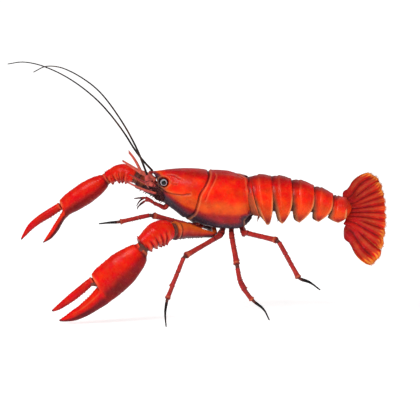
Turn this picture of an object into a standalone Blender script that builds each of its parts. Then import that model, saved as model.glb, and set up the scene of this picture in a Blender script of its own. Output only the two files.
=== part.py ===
"""A cooked crayfish standing on its walking legs, built piece by piece as the animal is.

The animal is laid out in its own coordinates: x runs back from the rostrum's root, y to its right
side, z up from the floor, in millimetres for a body 125 mm long. Everything is scaled from
BODY_LENGTH, and at the end the whole animal is moved so that the origin is the bottom centre of
its box. The left side is y < 0 and the right side y > 0.
"""

import math

import bmesh
import bpy
from mathutils import Matrix, Vector

# Driving dimensions, in millimetres, and the scale that turns them into metres.
BODY_LENGTH = 125.0
LAYOUT_LENGTH = 125.0
SCALE = BODY_LENGTH / LAYOUT_LENGTH * 0.001
LEFT, RIGHT = -1, 1

# Head and thorax: each profile is (position along the back, value).
BACK_LINE = [(-1.5, 77.9), (2.4, 78.3), (6.4, 78.9), (13, 79.4), (19.7, 79.7), (26, 79.3),
             (30, 78.8), (38, 78.6), (46, 77.0), (51, 75.2)]
BELLY_LINE = [(-1.5, 77.0), (2.3, 76.2), (3, 66), (5, 63), (7.4, 60.6), (12.5, 56.2), (16.5, 53),
              (20, 51.7), (25, 49.8), (31, 48.4), (37.5, 47.4), (44.8, 47.3), (49.3, 48.4), (52.8, 51.0),
              (55.5, 55.4)]
CARAPACE_HALF = [(-1.5, 0.5), (2.4, 2.0), (3, 4.6), (6, 6.2), (10, 8.2), (15, 10.2), (22, 12.2),
                 (30, 13.4), (38, 14.0), (45, 13.7), (51, 12.2)]
CARAPACE_LEAN = [(3, 0), (6, -0.4), (10, -1.4), (15, -3), (22, -5.5), (26, -7.5), (30, -10),
                 (33, -7), (36, -5), (40, -2), (44, 0.4), (48, 2.6), (51, 3.8)]
CHANNEL_DEPTH = [(8, 0.4), (18, 3.0), (46, 3.0), (51, 1.0)]
CARAPACE_STATIONS = [-1.5, 0.6, 2.4, 3.0, 4.4, 6.4, 9, 12, 15, 18.5, 22, 25.5, 28.2, 29.2, 30.0,
                     30.8, 33, 36, 39, 42, 45, 48, 51]
GROOVE_STATION, GROOVE_DEPTH = 30.0, 0.7
LEAN_CURVE = 1.25
MARGIN_ANGLE = math.radians(150)
EYE_PLACE, EYE_RADIUS, ORBIT_RADIUS = (6.0, 6.9, 72.9), 2.1, 2.75

# Tail: its half width, back line and pleuron tips, the flesh under its plates, and its twist.
TAIL_HALF = [(51, 12.0), (58, 12.5), (69, 12.2), (81, 11.2), (92, 9.8), (104, 8.4)]
TAIL_BACK = [(51, 75.0), (63, 75.6), (74, 74.0), (86, 70.3), (96, 65.0), (104, 61.8)]
PLEURON_TIPS = [(51, 54.8), (58, 50.6), (68, 51.4), (79, 52.4), (89, 53.4), (100, 53.4)]
CORE_STATIONS = [52.2, 56, 61, 66, 71, 77, 83, 89, 95, 100, 103.6]
CORE_LEAN = [(52, 5.0), (66, 1.0), (80, 0.0), (96, 0.0), (103.6, -2.0)]
CORE_NARROWING = [(51, 0.0), (76, 0.3), (90, 1.5), (104, 1.5)]
CORE_ARCH = 0.82
TAIL_TWIST = [(70, 0.0), (82, 6.0), (104, 24.0)]
TWIST_AXIS_Z = 60.0
PLATE_THICKNESS, PLATE_CLEARANCE = 0.9, 0.45
ARCH_ANGLE = math.radians(112)

# One entry for each tail plate: where it starts and ends on the back, its pleuron's tip, and how
# its front and rear edges run down to that tip.
TAIL_PLATES = [
    dict(front=51.7, rear=52.9, back=(75.0, 75.3), crown=0.0, tip=(56.5, 54.8), tip_width=1.8,
         front_curve=1.4, rear_curve=1.8, bulge=0.0),
    dict(front=53.3, rear=63.7, back=(75.6, 75.5), crown=1.2, tip=(61.8, 50.6), tip_width=2.2,
         front_curve=1.9, rear_curve=7.0, bulge=0.9),
    dict(front=64.2, rear=74.3, back=(75.7, 74.1), crown=1.0, tip=(69.4, 51.4), tip_width=2.4,
         front_curve=1.3, rear_curve=3.6, bulge=1.0),
    dict(front=75.7, rear=86.4, back=(73.9, 70.4), crown=1.0, tip=(78.5, 52.4), tip_width=3.0,
         front_curve=2.0, rear_curve=2.4, bulge=1.0),
    dict(front=87.5, rear=96.8, back=(70.2, 65.2), crown=0.9, tip=(88.7, 53.4), tip_width=3.6,
         front_curve=1.5, rear_curve=2.0, bulge=0.2),
    dict(front=97.4, rear=104.1, back=(64.5, 62.2), crown=0.3, tip=(99.3, 53.2), tip_width=8.2,
         front_curve=1.4, rear_curve=2.0, bulge=0.2),
]

# Tail fan: five blades spread about a point ahead of the tail's end, in a plane rolled on edge.
FAN_ROOT = (104.9, 0.0, 55.3)
FAN_ROLL, FAN_PITCH = math.radians(53), math.radians(-1.5)
FAN_FOCUS = 6.7
FAN_STRETCH, FAN_LOPSIDED, FAN_WIDTH = 1.16, 0.05, 27.0
FAN_RIM = [(0, 26.8), (25, 28.4), (37, 30.4), (46, 31.2), (53, 30.4), (57, 28.6)]
FAN_SPREAD, FAN_BULGE = math.radians(57), math.radians(7)
FAN_THICKNESS, FAN_RIB_HEIGHT, FAN_SCALLOP, FAN_DISH = 1.1, 0.35, 0.8, 4.4
FAN_BLADES = [("left_outer_uropod", -57, -37, 2), ("left_inner_uropod", -37, -18, 2),
              ("telson", -18, 18, 4), ("right_inner_uropod", 18, 37, 2),
              ("right_outer_uropod", 37, 57, 2)]

# Walking legs, front to back. A path runs from the root in the thorax to the knee, then ankle and toe.
LEGS = {
    "leg1": dict(
        left=dict(thigh=[(27, 3.9, 49.6), (24, 6.4, 48.3), (18.5, 8.2, 50.3), (-0.8, 14, 56.3)],
                  shin=[(-17.9, 17, 52.9)], toe=[(-23.5, 17.5, 52.6), (-28.8, 18, 52.1)]),
        right=dict(thigh=[(27, 3.9, 49.6), (24, 6.4, 48.3), (18.5, 8.2, 48.0), (-0.8, 14, 52.4)],
                   shin=[(-17.9, 17, 48.1)], toe=[(-23.5, 17.5, 47.7), (-28.4, 18, 47.1)])),
    "leg2": dict(
        left=dict(thigh=[(38, 3.9, 48.0), (37, 8.6, 45.0), (33.3, 12, 43.2), (16.9, 28, 35.8)],
                  shin=[(7.8, 41, 14.4)], toe=[(6.9, 43, 7.5), (7.4, 44, 0.2)]),
        right=dict(thigh=[(38, 3.9, 48.0), (37, 8.6, 45.0), (33.3, 12, 39.9), (16.9, 26, 28.2)],
                   shin=[(9.9, 35, 9.9)], toe=[(8.5, 36, 5.2), (7.5, 36, 0.2)])),
    "leg3": dict(
        left=dict(thigh=[(42.5, 3.9, 48.0), (42.3, 8.8, 44.4), (45.2, 21, 29.7)],
                  shin=[(47.5, 22.5, 19.5), (53.7, 22, 11.1)],
                  toe=[(59.4, 21.5, 6.4), (62.6, 20, 0.2)]),
        right=dict(thigh=[(42.5, 3.9, 47.6), (42.3, 8.6, 43.6), (45.2, 18, 25.6)],
                   shin=[(46.8, 21, 17.0), (50.0, 22, 10.2)],
                   toe=[(54.2, 22.3, 4.8), (59.2, 22, 0.2)])),
    "leg4": dict(
        left=dict(thigh=[(47.5, 3.9, 48.7), (48.7, 8.8, 45.2), (50.6, 10.8, 46.0), (67.3, 26, 44.1)],
                  shin=[(78.5, 34, 24.6)], toe=[(84.4, 35.3, 22.7), (89.7, 36, 18.9)]),
        right=dict(thigh=[(47.5, 3.9, 48.7), (48.7, 8.8, 45.2), (50.6, 10.8, 43.0), (67.3, 24, 37.1)],
                   shin=[(78.5, 30, 15.6)], toe=[(84.4, 31.4, 13.4), (89.3, 32, 9.5)])),
}
THIGH_RADII = [1.1, 1.2, 1.45, 1.4, 1.6]
SHIN_RADII = [1.1, 1.25, 1.2, 1.35]
TOE_RADII = [0.85, 0.7, 0.5, 0.35]
JOINT_CLEARANCE = 0.8

# Claw arms: the arm's path and radii, the wrist bulb's path and radii, and the claw's own frame.
# A claw's profiles are (place from its wrist, reach from its axis), away from and towards the
# movable finger, and that finger is a path of (place, reach) with its half widths.
ARMS = {
    "left": dict(
        side=LEFT,
        merus=[(32.5, 3.9, 48.2), (33, 8.8, 45.2), (26, 12.8, 46.4), (18.5, 17.5, 48.2), (11.4, 22.9, 49.0)],
        merus_radii=[1.2, 1.35, 2.6, 4.0, 4.9],
        carpus=[(10.0, 24.4, 49.4), (2.6, 28.4, 48.3), (-4.6, 31.6, 43.4)],
        carpus_radii=[4.5, 6.3, 6.5, 5.7, 4.6],
        wrist=(-6.0, 32.0, 40.6), tip=(-50.0, 31.0, 1.5), facing=(0.10, -0.94, 0.32),
        palm_outer=[(0, 4.9), (2, 6.8), (9.7, 9.6), (17.8, 11.0), (25, 10.9), (33, 10.3), (40.6, 9.2),
                    (47.7, 7.4), (52.8, 5.2), (57.1, 2.0), (58.6, 0.5)],
        palm_inner=[(0, 3.6), (2.4, 4.8), (9.6, 6.9), (17.2, 7.9), (25.7, 8.0), (29.6, 6.6), (30.8, 0.6),
                    (33.3, -0.2), (39, -0.8), (44.8, -0.9), (51, -0.3), (57.5, 0.2), (58.6, 0.4)],
        thickness=[(0, 3.2), (6, 4.6), (16, 5.4), (27, 4.8), (36, 3.7), (48, 2.5), (56, 1.2), (58.6, 0.5)],
        stations=[0, 2, 5, 9.5, 15, 20, 25, 28, 29.8, 30.8, 34, 39, 44.5, 49.5, 53.5, 57, 58.6],
        dactyl=[(31.3, 4.5), (36, 4.6), (43, 4.8), (49.7, 5.2), (55, 5.7), (58.2, 6.4)],
        dactyl_half=[2.0, 2.25, 2.3, 1.9, 1.3, 0.4],
        dactyl_thickness=[2.6, 2.5, 2.3, 1.8, 1.2, 0.4]),
    "right": dict(
        side=RIGHT,
        merus=[(32.5, 3.9, 48.2), (32.3, 9.0, 45.2), (24, 15, 49.5), (8, 22.6, 61.0), (-7.4, 26.2, 69.6)],
        merus_radii=[1.2, 1.35, 2.6, 3.8, 4.4],
        carpus=[(-9.2, 27, 71.6), (-16.5, 29.2, 73.4), (-23.7, 30.6, 70.8)],
        carpus_radii=[3.8, 4.5, 4.6, 4.2, 3.3],
        wrist=(-25.0, 30.8, 69.2), tip=(-71.4, 33.0, 35.9), facing=(0.20, -0.90, 0.35),
        palm_outer=[(0, 2.9), (2, 3.8), (7.1, 5.0), (13, 5.4), (21, 4.9), (27, 4.1), (31, 4.7), (35, 6.4),
                    (39, 8.1), (44, 8.9), (47.8, 8.3)],
        palm_inner=[(0, 3.5), (3, 4.6), (7.9, 5.9), (16, 6.5), (23.5, 6.2), (27.6, 5.0), (28.8, 0.4),
                    (31, -0.9), (36, -3.0), (42, -5.5), (47.8, -7.8)],
        thickness=[(0, 3.0), (6, 4.2), (16, 4.8), (26, 4.0), (32, 2.9), (40, 2.0), (45, 1.2), (47.8, 0.4)],
        stations=[0, 2, 5, 9, 14, 19, 23.5, 26.5, 27.8, 28.8, 31, 34, 37, 40, 43, 46, 47.8],
        dactyl=[(29.4, 2.7), (36.5, 3.0), (42.3, 3.3), (48.4, 2.9), (53.4, 1.4), (56.7, 0.1)],
        dactyl_half=[2.1, 2.3, 2.1, 1.8, 1.1, 0.35],
        dactyl_thickness=[2.4, 2.3, 2.1, 1.6, 1.0, 0.35]),
}

# Feelers and mouth parts: paths, with their radii.
ANTENNA_PATHS = {
    "left": [(-3.2, 5.4, 77.6), (-8.6, 7, 91.5), (-17.2, 10, 107.5), (-29.2, 13, 123.6),
             (-44, 16, 134.1), (-55.3, 18, 137.1), (-63.5, 20, 134.0)],
    "right": [(-0.6, 4.4, 78.2), (-7.9, 6, 86.4), (-17.2, 9, 100.3), (-29.2, 12, 114.3),
              (-44, 15, 125.6), (-59, 18, 132.5), (-70.2, 20, 134.4), (-78, 21, 133.2)],
}
ANTENNA_RADII = [0.62, 0.5, 0.4, 0.32, 0.26]
PEDUNCLE_PATHS = {
    "left": [(1.2, 5.1, 69.4), (-2.2, 6.2, 72.6), (-3.2, 5.5, 76.8)],
    "right": [(1.2, 5.1, 70.4), (-1.4, 5.8, 74.0), (-0.8, 4.7, 77.4)],
}
PEDUNCLE_RADII = [1.7, 1.75, 1.45, 1.0]
SCALE_PATHS = {
    "left": [(2.2, 7.4, 67.0), (-5.0, 9.2, 69.4), (-13.8, 9.6, 73.6)],
    "right": [(2.2, 7.4, 68.0), (-5.0, 9.2, 70.8), (-12.5, 9.6, 75.0)],
}
SCALE_RADII = [1.2, 1.5, 1.1, 0.3]
ANTENNULE_STEM = [(1.6, 2.0, 73.2), (-3.4, 2.3, 74.6), (-7.8, 2.8, 77.4)]
ANTENNULE_STEM_RADII = [1.2, 1.15, 0.95]
ANTENNULE_BRANCHES = [
    ([(-7.0, 2.7, 76.9), (-10.6, 3.4, 82.6), (-13.2, 4.0, 88.6)], [0.8, 0.65, 0.4]),
    ([(-7.0, 2.7, 76.9), (-12.0, 2.2, 79.6), (-16.0, 1.8, 84.0)], [0.7, 0.5, 0.35]),
]
MAXILLIPED_PATHS = {
    "left": [(6.4, 3.6, 58.6), (1.0, 4.6, 61.4), (-3.4, 5.0, 64.2), (-10.1, 5.6, 64.0)],
    "right": [(6.4, 3.6, 58.2), (1.0, 4.4, 60.0), (-3.0, 4.8, 61.6), (-8.4, 5.2, 57.6)],
}
MAXILLIPED_RADII = [1.3, 1.2, 0.9, 0.3]

STERNUM_HALF, STERNUM_TOP, STERNUM_BOTTOM = 1.7, 2.4, 0.7
STERNUM_RANGE = (17.0, 49.0)

# Each piece's own colour (linear red, green, blue), roughness and metallic value.
FINISHES = {
    "shell": ((0.72, 0.045, 0.012), 0.30, 0.0),
    "tail_shell": ((0.74, 0.055, 0.014), 0.30, 0.0),
    "claw_shell": ((0.76, 0.035, 0.010), 0.26, 0.0),
    "limb_shell": ((0.52, 0.040, 0.022), 0.38, 0.0),
    "flesh": ((0.20, 0.045, 0.030), 0.55, 0.0),
    "dark_tip": ((0.012, 0.011, 0.013), 0.35, 0.0),
    "feeler": ((0.40, 0.060, 0.070), 0.42, 0.0),
    "eye": ((0.010, 0.010, 0.012), 0.08, 0.0),
}


def clear_scene():
    """Removes whatever the scene holds."""
    for found in list(bpy.data.objects):
        bpy.data.objects.remove(found)


def material(name):
    """The named finish as a Principled material, made once."""
    made = bpy.data.materials.get(name)
    if made:
        return made
    colour, roughness, metallic = FINISHES[name]
    made = bpy.data.materials.new(name)
    made.use_nodes = True
    shader = made.node_tree.nodes["Principled BSDF"]
    shader.inputs["Base Color"].default_value = (*colour, 1.0)
    shader.inputs["Roughness"].default_value = roughness
    shader.inputs["Metallic"].default_value = metallic
    made.diffuse_color = (*colour, 1.0)
    return made


def profile(stations, at):
    """The value at a position on a smooth curve through (position, value) pairs, with no overshoot."""
    if at <= stations[0][0]:
        return stations[0][1]
    if at >= stations[-1][0]:
        return stations[-1][1]
    slopes = [(b[1] - a[1]) / (b[0] - a[0]) for a, b in zip(stations, stations[1:])]
    tangents = [slopes[0]]
    for before, after in zip(slopes, slopes[1:]):
        same_way = before * after > 0
        tangents.append(2 * before * after / (before + after) if same_way else 0.0)
    tangents.append(slopes[-1])
    i = max(k for k, pair in enumerate(stations[:-1]) if pair[0] <= at)
    width = stations[i + 1][0] - stations[i][0]
    t = (at - stations[i][0]) / width
    rise = t * t * (3 - 2 * t)
    return (stations[i][1] * (1 - rise) + stations[i + 1][1] * rise
            + width * (tangents[i] * t * (1 - t) ** 2 - tangents[i + 1] * t * t * (1 - t)))


def even_values(values, share):
    """The value at a share from 0 to 1 along evenly spaced values."""
    last = len(values) - 1
    return profile([(k / last, value) for k, value in enumerate(values)], share)


def smooth_path(points, count):
    """Points spaced evenly in parameter along a Catmull-Rom curve through the given ones."""
    points = [Vector(p) for p in points]
    ends = [2 * points[0] - points[1], *points, 2 * points[-1] - points[-2]]
    spans = len(points) - 1
    path = []
    for k in range(count):
        at = k / (count - 1) * spans
        i = min(int(at), spans - 1)
        t = at - i
        a, b, c, d = ends[i:i + 4]
        path.append(0.5 * (2 * b + (c - a) * t + (2 * a - 5 * b + 4 * c - d) * t ** 2
                           + (3 * b - a - 3 * c + d) * t ** 3))
    return path


def on_side(points, side):
    """The points with y on the left or the right side."""
    return [Vector((x, side * y, z)) for x, y, z in points]


def add_object(name, mesh, finish, above_floor=False):
    """Turns a bmesh in millimetres into a named object, with any vertex below the floor raised to it."""
    if above_floor:
        for vert in mesh.verts:
            vert.co.z = max(vert.co.z, 0.0)
    bmesh.ops.scale(mesh, vec=(SCALE, SCALE, SCALE), verts=mesh.verts)
    bmesh.ops.recalc_face_normals(mesh, faces=mesh.faces)
    data = bpy.data.meshes.new(name)
    mesh.to_mesh(data)
    mesh.free()
    data.shade_smooth()
    data.set_sharp_from_angle(angle=math.radians(50))
    data.materials.append(material(finish))
    made = bpy.data.objects.new(name, data)
    bpy.context.scene.collection.objects.link(made)
    return made


def loft(name, rings, finish, above_floor=False):
    """A closed solid through rings of points, closed at both ends by fans."""
    mesh = bmesh.new()
    loops = [[mesh.verts.new(point) for point in ring] for ring in rings]
    count = len(loops[0])
    for near, far in zip(loops, loops[1:]):
        for i in range(count):
            j = (i + 1) % count
            mesh.faces.new((near[i], near[j], far[j], far[i]))
    for loop in (loops[0], loops[-1]):
        centre = mesh.verts.new(sum((vert.co for vert in loop), Vector()) / count)
        for i in range(count):
            mesh.faces.new((loop[i], loop[(i + 1) % count], centre))
    return add_object(name, mesh, finish, above_floor)


def plate(name, outer, inner, finish):
    """A closed plate between two grids of points, its outer and its inner face."""
    mesh = bmesh.new()
    faces = [[[mesh.verts.new(point) for point in row] for row in grid] for grid in (outer, inner)]
    rows, columns = len(outer), len(outer[0])
    for grid in faces:
        for i in range(rows - 1):
            for j in range(columns - 1):
                mesh.faces.new((grid[i][j], grid[i][j + 1], grid[i + 1][j + 1], grid[i + 1][j]))
    rim = [(0, j) for j in range(columns)] + [(i, columns - 1) for i in range(1, rows)]
    rim += [(rows - 1, j) for j in range(columns - 2, -1, -1)] + [(i, 0) for i in range(rows - 2, 0, -1)]
    for (i, j), (m, n) in zip(rim, rim[1:] + rim[:1]):
        mesh.faces.new((faces[0][i][j], faces[0][m][n], faces[1][m][n], faces[1][i][j]))
    return add_object(name, mesh, finish)


def tube_rings(path, radii, sides, flat=1.0, flat_way=Vector((0, 0, 1))):
    """Rings about a path. flat below 1 thins them along flat_way."""
    rings = []
    for k, centre in enumerate(path):
        ahead = path[min(k + 1, len(path) - 1)] - path[max(k - 1, 0)]
        ahead.normalize()
        across = ahead.cross(flat_way).normalized()
        thin = across.cross(ahead).normalized()
        radius = even_values(radii, k / (len(path) - 1))
        rings.append([centre + across * radius * math.cos(turn) + thin * radius * flat * math.sin(turn)
                      for turn in (2 * math.pi * i / sides for i in range(sides))])
    return rings


def tube(name, points, radii, finish, count, sides=6, flat=1.0, flat_way=(0, 0, 1), above_floor=False):
    """A tapering solid tube along a smooth path."""
    path = smooth_path(points, count)
    rings = tube_rings(path, radii, sides, flat, Vector(flat_way).normalized())
    return loft(name, rings, finish, above_floor)


def carapace_ring(station):
    """One ring of the head and thorax shell, with the channel for the leg roots under it."""
    half = profile(CARAPACE_HALF, station)
    back = profile(BACK_LINE, station)
    lean = profile(CARAPACE_LEAN, station)
    low = profile(BELLY_LINE, station + lean)
    channel = profile(CHANNEL_DEPTH, station)
    if station == GROOVE_STATION:
        half -= GROOVE_DEPTH
        back -= GROOVE_DEPTH
    middle = low + 0.46 * (back - low)
    depth = (middle - low) / abs(math.cos(MARGIN_ANGLE)) ** 0.85
    right = []
    outer_count = 10
    for k in range(outer_count + 1):
        angle = MARGIN_ANGLE * k / outer_count
        rise = math.copysign(abs(math.cos(angle)) ** 0.85, math.cos(angle))
        height = middle + rise * (back - middle if rise > 0 else depth)
        right.append((half * math.sin(angle) ** 0.85, height))
    margin = right[-1][0]
    right += [(margin * 0.88, low + 0.15 * channel), (margin * 0.76, low + channel),
              (0.0, low + channel + 0.3)]
    left = [(-y, z) for y, z in right[-2:0:-1]]
    ring = []
    for y, z in right + left:
        drop = min(1.0, max(0.0, (back - z) / (back - low)))
        ring.append(Vector((station + lean * drop ** LEAN_CURVE, y, z)))
    return ring


def make_carapace():
    """The head and thorax shell with its rostrum, its cervical groove and a hollow for each eye."""
    shell = loft("carapace", [carapace_ring(station) for station in CARAPACE_STATIONS], "shell")
    for side, name in ((LEFT, "left_orbit"), (RIGHT, "right_orbit")):
        mesh = bmesh.new()
        bmesh.ops.create_icosphere(mesh, subdivisions=2, radius=ORBIT_RADIUS)
        place = Vector((EYE_PLACE[0], side * (EYE_PLACE[1] - 0.4), EYE_PLACE[2]))
        bmesh.ops.translate(mesh, vec=place, verts=mesh.verts)
        cutter = add_object(name, mesh, "shell")
        cutter.hide_render = True
        cutter.display_type = "WIRE"
        cut = shell.modifiers.new(name, "BOOLEAN")
        cut.operation = "DIFFERENCE"
        cut.object = cutter


def make_sternum():
    """The narrow keel between the leg roots."""
    start, end = STERNUM_RANGE
    count = 9
    rings = []
    for k in range(count):
        x = start + (end - start) * k / (count - 1)
        low = profile(BELLY_LINE, x)
        half = STERNUM_HALF * (1.0 if k % 2 else 0.8)
        rings.append([Vector((x, y, low + z)) for y, z in (
            (half, STERNUM_TOP), (half, STERNUM_BOTTOM + 0.5), (0.0, STERNUM_BOTTOM),
            (-half, STERNUM_BOTTOM + 0.5), (-half, STERNUM_TOP))])
    loft("sternum", rings, "flesh")


def make_eyes():
    """An eyeball on a short stalk in each orbit."""
    x, y, z = EYE_PLACE
    shape = [(-1.9, 0.9), (-1.4, 1.2), (-1.0, 1.75), (0.0, EYE_RADIUS), (1.0, 1.85), (1.7, 1.2), (2.05, 0.4)]
    sides = 10
    for side, name in ((LEFT, "left_eye"), (RIGHT, "right_eye")):
        rings = [[Vector((x + radius * math.cos(turn), side * (y + out), z + radius * math.sin(turn)))
                  for turn in (2 * math.pi * i / sides for i in range(sides))] for out, radius in shape]
        loft(name, rings, "eye")


def twisted(point):
    """The point turned about the tail's long axis by the twist at its place along the tail."""
    turn = math.radians(profile(TAIL_TWIST, point.x))
    y, z = point.y, point.z - TWIST_AXIS_Z
    return Vector((point.x, y * math.cos(turn) - z * math.sin(turn),
                   TWIST_AXIS_Z + y * math.sin(turn) + z * math.cos(turn)))


def arch_point(share):
    """(sideways share, height share) on a plate's arch, share 0 on the back and 1 at the pleuron's tip."""
    angle = share * ARCH_ANGLE
    height = (math.cos(angle) - math.cos(ARCH_ANGLE)) / (1 - math.cos(ARCH_ANGLE))
    return math.sin(angle) ** 0.9 if share else 0.0, height


def make_tail_core():
    """The tail's flesh and joint skin, which shows between and under the plates."""
    inset = PLATE_THICKNESS + PLATE_CLEARANCE
    sides = 7
    rings = []
    for x in CORE_STATIONS:
        half = profile(TAIL_HALF, x) - inset - profile(CORE_NARROWING, x)
        back = profile(TAIL_BACK, x) - inset
        tip = profile(PLEURON_TIPS, x)
        ring = []
        for k in range(-sides, sides + 1):
            share = abs(k) / sides * CORE_ARCH
            sideways, height = arch_point(share)
            point = Vector((x + profile(CORE_LEAN, x) * (1 - height), 0.0, tip + (back - tip) * height))
            point.y = math.copysign(half * sideways, k)
            ring.append(twisted(point))
        rings.append(ring)
    loft("tail_core", rings, "flesh")


def tail_plate_point(shape, along, around, inset):
    """A point of a tail plate: along from its front to its rear edge, around from -1 to 1."""
    share = abs(around)
    sideways, height = arch_point(share)
    drop = 1 - height
    tip_x, tip_z = shape["tip"]
    front = shape["front"] + (tip_x - shape["tip_width"] / 2 - shape["front"]) * drop ** shape["front_curve"]
    rear = shape["rear"] + (tip_x + shape["tip_width"] / 2 - shape["rear"]) * drop ** shape["rear_curve"]
    rear += shape["bulge"] * math.sin(math.pi * drop)
    x = front + (rear - front) * along
    front_back, rear_back = shape["back"]
    back = front_back + (rear_back - front_back) * along + shape["crown"] * math.sin(math.pi * along)
    tip = tip_z + 0.3 * shape["tip_width"] * (2 * along - 1) ** 2
    station = shape["front"] + (shape["rear"] - shape["front"]) * along
    half = profile(TAIL_HALF, station) + 0.3 * shape["crown"] * math.sin(math.pi * along)
    y = (half - inset) * sideways
    z = tip + (back - inset - tip) * height
    return twisted(Vector((x, math.copysign(y, around), z)))


def make_tail_plates():
    """Six arched plates, each with a pleuron hanging at either side."""
    along_steps, around_steps = 4, 7
    for number, shape in enumerate(TAIL_PLATES, 1):
        steps = 1 if number == 1 else along_steps
        grids = []
        for inset in (0.0, PLATE_THICKNESS):
            grids.append([[tail_plate_point(shape, i / steps, j / around_steps, inset)
                           for j in range(-around_steps, around_steps + 1)] for i in range(steps + 1)])
        plate(f"tail_plate_{number}", *grids, "tail_shell")


def fan_frame():
    """The rotation that rolls the tail fan on edge and dips it, and then its place."""
    turn = Matrix.Rotation(FAN_PITCH, 4, "Y") @ Matrix.Rotation(FAN_ROLL, 4, "X")
    return Matrix.Translation(FAN_ROOT) @ turn


def fan_point(angle, share, lobe, height):
    """A point of the fan: share 0 at the root and 1 on the rim, lobe from 0 to 1 across one rib."""
    wide = angle / FAN_SPREAD
    ridge = math.sin(math.pi * lobe)
    rim = profile(FAN_RIM, math.degrees(abs(angle))) - FAN_SCALLOP * (1 - ridge)
    root = FAN_FOCUS + 0.6 + 3.4 * wide ** 2
    reach = root + (rim - root) * share
    turned = angle + FAN_BULGE * wide ** 3 * math.sin(math.pi * share)
    along = max(reach * math.cos(turned) - FAN_FOCUS, 0.3)
    across = reach * math.sin(turned) * (FAN_STRETCH - FAN_LOPSIDED * wide)
    dish = FAN_DISH * (across / FAN_WIDTH) ** 2
    thickness = FAN_THICKNESS * (1 - 0.45 * share)
    relief = FAN_RIB_HEIGHT * ridge * math.sin(math.pi * min(1.0, share * 1.2 + 0.1))
    return Vector((along, across, height * (thickness / 2 + max(0.0, relief)) - dish))


def make_fan():
    """The telson and the four uropod blades, each ribbed, with a scalloped rim."""
    frame = fan_frame()
    radial_steps, steps_per_lobe = 5, 3
    for name, first, last, lobes in FAN_BLADES:
        grids = []
        for height in (1, -1):
            grid = []
            for k in range(lobes * steps_per_lobe + 1):
                share_across = k / (lobes * steps_per_lobe)
                lobe = share_across * lobes % 1.0
                row = []
                for i in range(radial_steps + 1):
                    share = i / radial_steps
                    edge = math.degrees(0.25 / (FAN_FOCUS + share * 20))
                    angle = math.radians(first + edge + (last - first - 2 * edge) * share_across)
                    row.append(frame @ fan_point(angle, share, lobe, height))
                grid.append(row)
            grids.append(grid)
        plate(name, *grids, "tail_shell")


def shortened(points, start, end):
    """The path with its first and last points drawn in by these lengths."""
    points = [Vector(p) for p in points]
    points[0] = points[0] + (points[1] - points[0]).normalized() * start
    points[-1] = points[-1] + (points[-2] - points[-1]).normalized() * end
    return points


def make_legs():
    """Eight walking legs, each a thigh, a shin and a dark toe."""
    for leg, sides in LEGS.items():
        for name, side in (("left", LEFT), ("right", RIGHT)):
            path = sides[name]
            thigh = on_side(path["thigh"], side)
            shin = [thigh[-1], *on_side(path["shin"], side)]
            toe = [shin[-1], *on_side(path["toe"], side)]
            tube(f"{name}_{leg}_thigh", shortened(thigh, 0, JOINT_CLEARANCE), THIGH_RADII, "limb_shell", 9)
            tube(f"{name}_{leg}_shin", shortened(shin, JOINT_CLEARANCE, JOINT_CLEARANCE / 2), SHIN_RADII,
                 "limb_shell", 6)
            tube(f"{name}_{leg}_toe", shortened(toe, JOINT_CLEARANCE, 0), TOE_RADII, "dark_tip", 6,
                 above_floor=True)


def claw_frame(arm):
    """The claw's own frame: x along it, y towards the movable finger, z out of its broad face."""
    side = arm["side"]
    wrist = on_side([arm["wrist"]], side)[0]
    along = (on_side([arm["tip"]], side)[0] - wrist).normalized()
    facing = Vector(arm["facing"])
    facing = (facing - along * facing.dot(along)).normalized()
    across = facing.cross(along)
    if across.z < 0:
        across.negate()
    turn = Matrix((along, across, facing)).transposed().to_4x4()
    return Matrix.Translation(wrist) @ turn


def claw_ring(frame, at, middle, half, thickness, sides=12):
    """A ring across the claw at a place along it, in the claw's frame."""
    ring = []
    for i in range(sides):
        turn = 2 * math.pi * i / sides
        ring.append(frame @ Vector((at, middle + half * math.cos(turn), thickness * math.sin(turn))))
    return ring


def make_claw(name, arm):
    """The palm with its fixed finger, and the movable finger."""
    frame = claw_frame(arm)
    rings = []
    for at in arm["stations"]:
        outer, inner = -profile(arm["palm_outer"], at), profile(arm["palm_inner"], at)
        rings.append(claw_ring(frame, at, (outer + inner) / 2, (inner - outer) / 2,
                               profile(arm["thickness"], at)))
    loft(f"{name}_palm", rings, "claw_shell", above_floor=True)
    count = 10
    path = smooth_path([(at, across, 0) for at, across in arm["dactyl"]], count)
    rings = []
    for k, centre in enumerate(path):
        share = k / (count - 1)
        rings.append(claw_ring(frame, centre.x, centre.y, even_values(arm["dactyl_half"], share),
                               even_values(arm["dactyl_thickness"], share), sides=9))
    loft(f"{name}_dactyl", rings, "claw_shell")


def make_arms():
    """The two claw arms: arm, wrist bulb, palm and movable finger."""
    for name, arm in ARMS.items():
        side = arm["side"]
        tube(f"{name}_merus", on_side(arm["merus"], side), arm["merus_radii"], "claw_shell", 9, sides=10)
        tube(f"{name}_carpus", on_side(arm["carpus"], side), arm["carpus_radii"], "claw_shell", 8, sides=12)
        make_claw(name, arm)


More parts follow.
